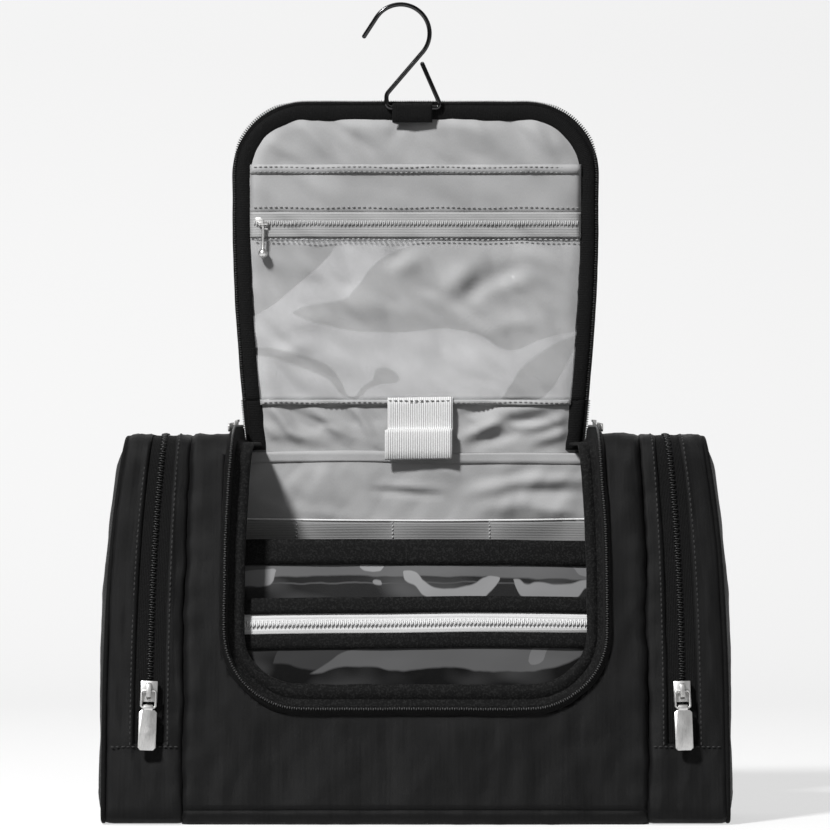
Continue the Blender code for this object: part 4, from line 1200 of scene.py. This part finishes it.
def pouchSpot(x, z, depth, forward=0.0):
    # a place on a pouch that lies a given depth behind the front, bowed forward between its ends
    across = x / insideShape["pouchHalf"]
    height = smooth(pouchShape["floor"], 0.1, z)
    bow = pouchShape["bow"] * (1 - across ** 2) * height
    ripple = 0.5 * mm * softNoise(x * 24, z * 30, depth * 300)
    drop = pouchShape["sag"] * (0.5 * math.sin(x * 19 + depth * 90) + 0.35 * softNoise(x * 12,
                                                                                       depth * 200)) * height
    n = -depth + bow + ripple + forward
    return onSkin(x, frontS(z + drop, n), n)


def pouchStrip(name, low, high, depth, forward, material, thickness, nodes, slotName, taper=0.0):
    half = insideShape["pouchHalf"]
    cell = 3.2 * mm
    values = {"thickness": thickness, "cell": (cell, min(cell, (high - low) / 3))}

    def place(x, z):
        shrink = 1 - taper * smooth(0.0, half, x)
        middle = (low + high) / 2
        return pouchSpot(x, middle + (z - middle) * shrink, depth, forward)
    piece = clothPiece(name, [rectangle(-half, half, low, high)], place, values, material)
    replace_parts(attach(piece, "bag"), *nodes)
    return piece


def vinylWave(x, z, depth):
    return (1.3 * softNoise(x * 21, z * 34, depth * 100, 2) + 0.5 * math.sin(x * 75 + z * 60)) * mm


def pouchWindow(name, low, high, depth, material, nodes):
    half = insideShape["pouchHalf"]
    values = {"thickness": 0.4 * mm, "cell": 2.8 * mm, "held": "stretched"}

    def place(x, z):
        calm = smooth(0.0, 0.008, high - z) * smooth(0.0, 0.02, half - abs(x))
        return pouchSpot(x, z, depth, vinylWave(x, z, depth) * calm)
    piece = clothPiece(name, [rectangle(-half, half, low, high)], place, values, material)
    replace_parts(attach(piece, "bag"), *nodes)
    return piece


rear, front = insideShape["rearDepth"], insideShape["frontDepth"]
pouchWindow("rearWindow", pouchShape["floor"], pouchShape["rearBand"][0] + 0.002, rear, rearVinyl,
            ("rear_pouch_vinyl",))
pouchStrip("rearBand", *pouchShape["rearBand"], rear, 1.0 * mm, velcro, 1.3 * mm, ("rear_pouch_band",),
           "black_trim")
pouchWindow("frontWindow", pouchShape["floor"], pouchShape["lowerBand"][0] + 0.002, front, frontVinyl,
            ("front_pouch_vinyl",))
pouchStrip("upperBand", *pouchShape["upperBand"], front, 1.0 * mm, velcro, 1.3 * mm,
           ("front_pouch_upper_band",), "black_trim")
pouchStrip("lowerBand", *pouchShape["lowerBand"], front, 1.0 * mm, velcro, 1.3 * mm,
           ("front_pouch_lower_band",), "black_trim")
pouchStrip("pouchZipTape", pouchShape["zip"][0] - 1.5 * mm, pouchShape["zip"][1] + 1.5 * mm, front,
           0.1 * mm, zipTapeWhite,
           0.6 * mm, ("front_pouch_zip_tape",), "grey_zip", taper=0.28)
zipMiddle = sum(pouchShape["zip"]) / 2
tilted = Vector((0, -math.cos(slope), math.sin(slope)))
line = [(pouchSpot(x, zipMiddle, front, 0.6 * mm), tilted) for x in steps(-0.108, 0.108, 80)]
pouchChain = zipChain("pouchZipChain", line,
                      {"pitch": 1.0 * mm, "half": 2.2 * mm, "height": 0.16 * mm, "duty": 0.49}, whiteCoil)
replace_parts(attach(pouchChain, "bag"), "front_pouch_zip_coil")
print("inside laid")


# the lid, on both sides of its two folds

lidLayers = {"liningY": 0.0399, "wave": 1.5 * mm, "seamV": 0.0227, "pocketTop": 0.1438, "stitchV": 0.1218,
             "zipTop": 0.1195, "zipLow": 0.1062, "windowTop": 0.1062, "tape": 2.3 * mm, "binding": 7.6 * mm}
lidTop = lidShape["length"]


def insideLid(x, v):
    # distance in from the lid's edge
    corner = lidShape["corner"]
    straight, centre = lidTop - corner, lidShape["halfWidth"] - corner
    if v <= straight:
        return halfWidth(max(v, 0.0)) - abs(x)
    if abs(x) <= centre:
        return lidTop - v
    return corner - math.hypot(abs(x) - centre, v - straight)


# folds in the lid's lining, in mm: from x, v to x, v, width and height
lidFolds = (
    (-62, 168, -34, 140, 3.5, 2.2), (-50, 171, -20, 150, 3.0, -1.6), (-20, 170, 8, 148, 3.6, 1.9),
    (26, 170, 44, 150, 2.8, 2.1), (44, 172, 60, 152, 2.6, -1.6), (58, 168, 72, 148, 3.2, 2.2),
    (-78, 158, -60, 146, 3.0, 1.5), (-4, 170, -14, 156, 3.0, -1.2), (70, 160, 78, 150, 3.0, 1.5),
    (-40, 168, -30, 158, 2.6, 1.4), (12, 168, 20, 156, 3.4, -1.2),
    (-16, 93, -3, 102, 5.0, -1.7), (-14, 89, 4, 96, 5.0, 1.5), (24, 74, 36, 84, 4.5, -2.6),
    (36, 84, 54, 91, 4.5, -2.0), (12, 76, 34, 96, 5.5, 2.2), (38, 79, 62, 85, 5.0, 1.7),
    (-66, 96, -44, 84, 6.0, 1.5), (-40, 74, -8, 68, 6.0, 1.4), (-70, 60, -40, 66, 6.0, 1.3),
    (30, 58, 66, 64, 5.0, 1.5), (50, 100, 76, 92, 5.0, 1.6), (-76, 44, -52, 52, 5.0, 1.2),
    (-76, 21, -62, 4, 3.0, 2.8), (-69, 20, -52, 8, 2.6, -2.0), (-56, 21, -36, 3, 3.4, 2.8),
    (-44, 20, -28, 9, 2.4, -2.1), (-70, 7, -48, 1, 3.2, 2.0), (-33, 21, -21, 2, 3.0, 2.6),
    (-62, 12, -40, 10, 2.2, -1.8), (24, 3, 46, 13, 3.2, 3.1), (30, 0, 60, 8, 3.0, -2.0),
    (42, 17, 80, 20, 3.0, 2.4), (50, 6, 82, 15, 3.4, 3.2), (24, 15, 42, 20, 2.6, -1.8),
    (60, 1, 84, 8, 3.0, 2.4), (46, 12, 70, 12, 2.0, -2.0), (-80, 12, -70, 2, 2.6, 2.0),
)


def lidWave(x, v):
    # how far the lining stands forward: soft folds, drawn from the corners, and a crumpled strip by the hinge
    edge = smooth(5 * mm, 14 * mm, insideLid(x, v))
    broad = 0.5 + 1.4 * softNoise(x * 17, v * 13, 1.7, 2)
    pull = abs(softNoise(x * 34 + v * 26, v * 20, 9.3, 3)) * 1.6
    low = smooth(0.034, 0.012, v)
    strip = softNoise(x * 46 + v * 60, v * 55 - x * 12, 3.0, 3) * low * 0.55
    rise = ((broad * 0.7 + pull * 1.3) * (1 - low * 0.5) + strip + 0.5) * lidLayers["wave"]
    return max(0.0, rise + folds(x, v, lidFolds)) * edge


def lidSpot(x, v, forward=0.0):
    return Vector((x, lidLayers["liningY"] - forward - lidWave(x, v), hingeZ + v))


def lidOutlineOf(first, last, inset, count=14):
    # across the lid between two heights; up to its rounded top when last is the lid's length
    if last < lidTop:
        right = [(halfWidth(max(v, 0.0)) - inset, v) for v in steps(first, last, count)]
        return right + mirrored(right)
    path = EdgePath(lidTop, first)
    return [path.at(path.total * i / 90, -inset)[:2] for i in range(91)]


def foldBack(piece):
    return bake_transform(piece)


def foldFront(piece):
    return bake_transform(piece)


seamV = lidLayers["seamV"]
hang = {"thickness": 0.5 * mm, "cell": 2.2 * mm, "held": "hung", "restsOn": ("hanger_hook",)}
lowLining = clothPiece("lidLiningLow", [lidOutlineOf(-5.5 * mm, seamV, 3.6 * mm)], lidSpot,
                       dict(hang, cell=1.4 * mm), lining)
highLining = clothPiece("lidLiningHigh", [lidOutlineOf(seamV, lidTop, 3.6 * mm)], lidSpot, hang, lining)
shellValues = dict(hang, thickness=0.8 * mm, flip=True)


def shellSpot(x, v):
    back = (0.4 + 0.6 * softNoise(x * 18, v * 14, 5.0)) * 1.2 * mm * smooth(2 * mm, 16 * mm,
                                                                            insideLid(x, v))
    crumple = 0.3 * mm * softNoise(x * 90, v * 50, 3.0) * smooth(2 * mm, 8 * mm, insideLid(x, v))
    return Vector((x, 0.0421 + max(back, 0.0) + crumple, hingeZ + v))


lowShell = clothPiece("lidShellLow", [lidOutlineOf(-3.5 * mm, seamV, 1.9 * mm)], shellSpot, shellValues,
                      nylon)
highShell = clothPiece("lidShellHigh", [lidOutlineOf(seamV, lidTop, 1.9 * mm)], shellSpot, shellValues,
                       nylon)
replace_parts(foldBack(lowLining), "lid_top_lining")
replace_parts(foldFront(highLining), "lid_lining")
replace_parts(foldBack(lowShell), "lid_top_shell")
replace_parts(foldFront(highShell), "lid_shell")

bindingProfile = ((-1.9, 0.8), (-2.0, -0.5), (-2.4, -1.5), (-3.6, -2.0), (-5.4, -2.15), (-7.6, -2.0),
                  (-9.2, -1.5), (-9.9, -0.7), (-9.8, -0.1))


def bindingRow(path, distance):
    wave = 0.35 * softNoise(distance * 60, 2.0)
    row = []
    for grow, out in bindingProfile:
        x, v = path.at(distance, (grow + wave * (0.4 if grow > -3 else 1.0)) * mm)[:2]
        row.append(Vector((x, lidLayers["liningY"] + (out - 0.15 * wave) * mm, hingeZ + v)))
    return row


highPath = EdgePath(lidTop, seamV - 0.4 * mm)
highBinding = band("lidBinding", [bindingRow(highPath, highPath.total * i / 190) for i in range(191)],
                   {"thickness": 0.5 * mm}, trim)
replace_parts(foldFront(highBinding), "lid_binding")
for name, side in sides.items():
    reach = seamV + 3 * mm
    rows = []
    for i in range(15):
        v = -3 * mm + reach * i / 14
        rows.append([Vector((side * (halfWidth(max(v, 0.0)) + grow * mm), lidLayers["liningY"] + out * mm,
                             hingeZ + v))
                     for grow, out in bindingProfile])
    stub = band("lidTopBinding." + name, rows, {"thickness": 0.5 * mm}, trim)
    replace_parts(foldBack(stub), "lid_top_binding_" + name)

# the zip's tape stands out all round the lid's edge, with its chain on the rim
tapeProfile = ((-3.0, 0.5), (-1.8, 0.55), (-0.6, 0.5), (0.15, 0.3), (0.1, 0.0), (-0.6, -0.1), (-1.8, -0.1),
               (-3.0, -0.1))


def tapeRow(path, distance):
    wave = 0.22 * softNoise(distance * 45, 6.0)
    row = []
    for grow, out in tapeProfile:
        x, v = path.at(distance, (grow + wave) * mm)[:2]
        row.append(Vector((x, lidLayers["liningY"] + out * mm, hingeZ + v)))
    return row


highTape = band("lidZipTape", [tapeRow(highPath, highPath.total * i / 190) for i in range(191)], {}, trim)
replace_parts(foldFront(highTape), "lid_zip_tape")
line = []
for i in range(381):
    distance = highPath.total * i / 380
    across, up = highPath.at(distance)[2:]
    proud = smooth(0.15, 0.5, up) * (0.5 + 0.5 * smooth(0.99, 0.9, up))
    x, v = highPath.at(distance, (1.5 * proud - 1.0 + 0.22 * softNoise(distance * 45, 6.0)) * mm)[:2]
    line.append((Vector((x, lidLayers["liningY"] + 0.2 * mm, hingeZ + v)), Vector((across, 0, up))))
lidChain = zipChain("lidZipChain", line,
                    {"pitch": 1.2 * mm, "half": 0.9 * mm, "height": 1.15 * mm, "duty": 0.33}, blackCoil)
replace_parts(foldFront(lidChain), "lid_zip_coil")
for name, side in sides.items():
    rows, line = [], []
    for i in range(12):
        v = -1 * mm + (seamV + 1 * mm) * i / 11
        rows.append([Vector((side * (halfWidth(max(v, 0.0)) + grow * mm), lidLayers["liningY"] + out * mm,
                             hingeZ + v)) for grow, out in tapeProfile])
        line.append((Vector((side * (halfWidth(max(v, 0.0)) + 0.2 * mm), lidLayers["liningY"] + 0.2 * mm,
                             hingeZ + v)), Vector((side, 0, 0))))
    stubTape = band("lidTopZipTape." + name, rows, {}, trim)
    stubChain = zipChain("lidTopZipChain." + name, line,
                         {"pitch": 1.2 * mm, "half": 0.9 * mm, "height": 0.9 * mm}, blackCoil)
    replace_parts(foldBack(stubTape), "lid_top_zip_" + name)
    foldBack(stubChain)
print("lid shell and edge laid")


# what is sewn on the inside of the lid

pocketInset = 9.0 * mm


def lidStrip(name, first, last, forward, material, nodes, values, relief=None, inset=pocketInset):
    def place(x, v):
        extra = relief(x, v) if relief else 0.0
        return lidSpot(x, v, forward + extra)
    piece = clothPiece(name, [lidOutlineOf(first, last, inset)], place, values, material)
    if last <= seamV + 1 * mm:
        foldBack(piece)
    elif first < foldZ - hingeZ + 9 * mm:
        foldFront(piece)
    else:
        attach(piece, "lid")
    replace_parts(piece, *nodes)
    return piece


def lidStitches(name, rows, material, blendIt=None):
    lines = []
    for v, forward, inset in rows:
        half = halfWidth(max(v, 0.0)) - inset
        lines.append([(lidSpot(-half + 2 * half * i / 70, v + 0.25 * mm * math.sin(i * 0.35), forward),
                       Vector((0, -1, 0)))
                      for i in range(71)])
    piece = stitches(name, lines, material)
    if blendIt:
        blendIt(piece)
    else:
        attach(piece, "lid")
    return piece


def pocketWave(x, v):
    return 0.9 * mm * abs(softNoise(x * 30, v * 9, 8.0, 2)) * smooth(0.119, 0.13, v)


pocketValues = {"thickness": 0.45 * mm, "cell": 3.0 * mm, "held": "hung"}
lidStrip("lidPocket", lidLayers["zipTop"] - 1 * mm, lidLayers["pocketTop"], 0.75 * mm, lining,
         ("lid_slip_pocket",),
                      pocketValues, pocketWave)
lidStrip("lidPocketHem", lidLayers["pocketTop"] - 4.6 * mm, lidLayers["pocketTop"] + 0.2 * mm, 1.45 * mm,
         lining, (),
                     {"thickness": 0.5 * mm, "cell": 2.4 * mm},
                     pocketWave)
lidStitches("lidPocketStitches",
            [(lidLayers["pocketTop"] - 1.2 * mm, 1.75 * mm, 0.0105),
             (lidLayers["pocketTop"] - 3.9 * mm, 1.75 * mm, 0.0105),
                                  (lidLayers["stitchV"], 1.2 * mm, 0.0105)], greyThread)
lidStrip("lidPocketZipTape", lidLayers["zipLow"], lidLayers["zipTop"], 1.5 * mm, zipTapeGrey,
         ("lid_pocket_zip_tape",),
                   {"thickness": 0.5 * mm, "cell": (3.0 * mm, 1.3 * mm)})
coilV = 0.1136
half = halfWidth(coilV) - 0.011
line = [(lidSpot(-half + 2 * half * i / 160, coilV, 1.8 * mm), Vector((0, -1, 0))) for i in range(161)]
pocketChain = zipChain("lidPocketZipChain", line,
                       {"pitch": 1.0 * mm, "half": 1.7 * mm, "height": 0.45 * mm}, greyCoil)
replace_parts(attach(pocketChain, "lid"), "lid_pocket_zip_coil")

windowShape = {"forward": 1.1 * mm, "rise": 0.9 * mm, "fold": 0.5 * mm}


def windowWave(x, v):
    # the vinyl stands off its lining in long slack waves, with a sharper crease low down
    inner = smooth(0.0, 0.022, v - seamV) * smooth(0.0, 0.016, lidLayers["windowTop"] - v)
    sides = smooth(9 * mm, 26 * mm, insideLid(x, v))
    long = 0.5 + 0.9 * softNoise(x * 11 + v * 7, v * 15 - x * 4, 21.0, 2)
    crease = (1 - 2.6 * abs(softNoise(x * 19 - v * 14, v * 26, 13.0, 2))) * smooth(0.085, 0.035, v)
    return (max(long, 0.0) * windowShape["rise"] + max(crease, 0.0) * windowShape["fold"]) * inner * sides


window = lidStrip("lidWindow", seamV - 1.0 * mm, lidLayers["windowTop"], windowShape["forward"], vinyl,
                  ("lid_window", "lid_top_window"),
                  {"thickness": 0.4 * mm, "cell": 2.2 * mm, "held": "hung"}, windowWave)
window.visible_shadow = False   # clear vinyl lets the light through
lidStitches("windowTopStitches", [(lidLayers["windowTop"] - 0.9 * mm, 2.0 * mm, 0.0105)], paleThread)
lidStrip("windowSeam", seamV - 2.6 * mm, seamV + 0.2 * mm, 1.55 * mm, lining, (),
                    {"thickness": 0.6 * mm, "cell": (2.4 * mm, 0.9 * mm)},
                    lambda x, v: 0.5 * mm * math.sin(math.pi * (v - seamV + 2.6 * mm) / (2.8 * mm)))
lidStitches("windowSeamStitches", [(seamV - 1.3 * mm, 2.35 * mm, 0.0105)], greyThread, blendIt=foldBack)

# the keeper: ribbed webbing sewn at its top, doubled back on itself lower down
keeperShape = {
    "left": -14.4, "right": 19.1, "parts": 24, "lean": 0.5, "curl": 0.5,
    "path": ((24.2, 3.4), (23.6, 4.3), (20.0, 4.6), (14.0, 4.7), (9.4, 4.6), (8.0, 4.7), (7.4, 5.2),
             (7.9, 6.6),
             (7.4, 7.5), (6.0, 7.8), (2.0, 8.0), (-3.0, 8.1), (-7.2, 7.9), (-7.9, 7.2), (-7.4, 6.4),
             (-3.0, 6.0),
             (3.0,
              5.7)),   # height over the hinge and distance out of the lining, from its top edge to its end
}
rows = []
for i in range(keeperShape["parts"] + 1):
    share = i / keeperShape["parts"]
    x = keeperShape["left"] + (keeperShape["right"] - keeperShape["left"]) * share
    lift = keeperShape["curl"] * (4 * (share - 0.5) ** 2)
    row = []
    for v, out in keeperShape["path"]:
        wide = 1.03 if v < 7.9 and out > 4 else 1.0
        spread = (x - 2.3) * wide + 2.3 - (0.9 if wide > 1 else 0.0)
        row.append(Vector((spread * mm, lidLayers["liningY"] - (out + lift) * mm,
                           hingeZ + (v + keeperShape["lean"] * (share - 0.5)) * mm)))
    rows.append(row)
keeper = band("keeper", rows, {"thickness": 0.9 * mm}, keeperWebbing)
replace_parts(foldBack(keeper), "keeper_tab")
line = [(Vector(((keeperShape["left"] + 33.5 * i / 12) * mm, lidLayers["liningY"] - 4.9 * mm,
                 hingeZ + 22.4 * mm)),
         Vector((0, -1, 0))) for i in range(13)]
sewn = stitches("keeperStitches", [line], greyThread)
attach(sewn, "lid_top")
print("lid lining laid")


# the hook, its webbing loop, and the sliders and pulls

hookShape = {"radius": 1.17 * mm, "crookX": -0.0077, "crookR": 0.0149, "crookUp": 0.0384, "start": 147,
             "end": -40, "tip": 0.0117,
             "barLeft": -0.0150, "barRight": 0.0134, "shoulder": 0.0070, "freeEnd": (0.0034, 0.0228)}
barY, barZ = joints["hook_swing"]["pos_m"][1:]


def roundedPath(points, radii, parts=8):
    path = [Vector(points[0])]
    for before, corner, after, radius in zip(points, points[1:], points[2:], radii):
        corner = Vector(corner)
        back, ahead = (Vector(before) - corner).normalized(), (Vector(after) - corner).normalized()
        angle = back.angle(ahead)
        reach = radius / math.tan(angle / 2)
        centre = corner + (back + ahead).normalized() * radius / math.sin(angle / 2)
        first, last = corner + back * reach - centre, corner + ahead * reach - centre
        path += [centre + first.lerp(last, i / parts).normalized() * radius for i in range(parts + 1)]
    return path + [Vector(points[-1])]


turns = [math.radians(hookShape["start"] + (hookShape["end"] - hookShape["start"]) * i / 44)
         for i in range(45)]
crook = [(hookShape["crookX"] + hookShape["crookR"] * math.cos(a),
          hookShape["crookUp"] + hookShape["crookR"] * math.sin(a)) for a in turns]
tip = (crook[0][0] - hookShape["tip"] * math.sin(turns[0]),
       crook[0][1] + hookShape["tip"] * math.cos(turns[0]))
bends = [crook[-1], (hookShape["barLeft"], hookShape["shoulder"]), (hookShape["barLeft"], 0),
         (hookShape["barRight"], 0), hookShape["freeEnd"]]
points = [Vector(tip)] + [Vector(p) for p in crook[:-1]] + roundedPath(bends, (0.004, 0.0025, 0.002))
hook = wire("hook", [Vector((p.x, barY, barZ + p.y)) for p in points], hookShape["radius"], darkSteel,
            around=20)
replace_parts(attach(hook, "hook"), "hanger_hook")

low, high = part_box("hook_loop")
rows = []
for i in range(13):
    x = low.x + (high.x - low.x) * i / 12
    outer = (high.y - low.y) / 2
    row = []
    for j in range(15):
        angle = math.radians(180 * j / 14)
        row.append(Vector((x, barY + outer * math.cos(angle), barZ + outer * math.sin(angle))))
    foot = [Vector((x, barY - outer - 0.1 * mm * math.sin(i), barZ - 7.2 * mm)),
            Vector((x, barY - outer + 0.5 * mm, barZ - 7.6 * mm))]
    rows.append([Vector((x, barY + outer, barZ - 6.8 * mm))] + row + [Vector((x, barY - outer,
                                                                              barZ - 3.4 * mm))] + foot)
hookLoop = band("hookLoop", rows, {"thickness": 0.8 * mm}, trim)
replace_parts(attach(hookLoop, "lid"), "hook_loop")

metalParts = ["front_pouch_slider", "lid_pocket_slider", "lid_pocket_charm"]
for name in sides:
    metalParts += ["end_slider_" + name, "end_link_" + name, "main_slider_" + name, "main_pull_" + name]
for node in metalParts:
    small = "charm" in node or "link" in node
    piece = hardware(node + ".metal", node,
                     {"round": 0.10 * mm if small else 0.22 * mm, "sharp": 50 if small else 28}, steel)
for name in sides:
    node = "end_pull_" + name
    pull = hardware(node + ".metal", node, {"round": 0.30 * mm}, steel)
print("hook and metal parts made")


# floor, backdrop, light and camera

def plainSurface(name, tone, rough=0.9):
    f = Finish(name)
    cloud = f.noise(f.place(), 3, 2, 0.5)
    return f.shade({"Base Color": f.blend(cloud, grey(tone * 0.985), grey(tone)), "Roughness": rough,
                    "Specular IOR Level": 0.1,
                    "Emission Color": (1, 1, 1, 1), "Emission Strength": 0.60})


studio = {"floorTone": 0.40, "wall": 1.6, "front": -3.6, "half": 3.0, "curve": 0.5, "drop": 0.4 * mm}
bm = bmesh.new()
profile = [(studio["front"], 0.0), (studio["wall"] - studio["curve"], 0.0)]
profile += [(studio["wall"] - studio["curve"] + studio["curve"] * math.sin(a),
             studio["curve"] * (1 - math.cos(a)))
            for a in steps(0.0, math.radians(90), 12)[1:]] + [(studio["wall"], 3.2)]
verts = [bm.verts.new((-studio["half"], y, z - studio["drop"])) for y, z in profile]
edges = [bm.edges.new(pair) for pair in zip(verts, verts[1:])]
made = bmesh.ops.extrude_edge_only(bm, edges=edges)["geom"]
bmesh.ops.translate(bm, verts=[g for g in made if isinstance(g, bmesh.types.BMVert)],
                    vec=(2 * studio["half"], 0, 0))
bmesh.ops.recalc_face_normals(bm, faces=bm.faces)
backdrop = keepMesh("backdrop", bm, plainSurface("paleFloor", studio["floorTone"]))
backdrop.visible_diffuse = False   # the floor is only a pale ground and throws no light back


def softbox(name, place, aim, size, watts):
    data = bpy.data.lights.new(name, "AREA")
    data.shape, data.size, data.size_y = "RECTANGLE", size[0], size[1]
    data.energy = watts
    lamp = bpy.data.objects.new(name, data)
    bpy.context.scene.collection.objects.link(lamp)
    lamp.location = place
    lamp.rotation_euler = (Vector(aim) - Vector(place)).to_track_quat("-Z", "Y").to_euler()
    return lamp


softbox("keyLight", (-1.25, -1.75, 2.25), (0, 0, 0.2), (0.34, 0.34), 108)
softbox("fillLight", (1.6, -1.9, 0.7), (0, 0, 0.2), (1.3, 1.6), 3)
softbox("topLight", (-0.3, 0.4, 1.9), (0, 0, 0.2), (1.2, 0.9), 4)

world = bpy.data.worlds.new("studioAir")
bpy.context.scene.world = world
world.use_nodes = True
world.node_tree.nodes["Background"].inputs["Color"].default_value = (1, 1, 1, 1)
world.node_tree.nodes["Background"].inputs["Strength"].default_value = 0.12
bpy.context.scene.view_settings.view_transform = "Standard"

view = {"distance": 2.775, "height": 0.205, "lens": 236.8, "x": -0.0003}
camData = bpy.data.cameras.new("camera")
camData.lens, camData.sensor_width = view["lens"], 36.0
camera = bpy.data.objects.new("camera", camData)
camera.location = (view["x"], -view["distance"], view["height"])
camera.rotation_euler = (math.radians(90), 0, 0)
bpy.context.scene.collection.objects.link(camera)
bpy.context.scene.camera = camera
print("studio set")
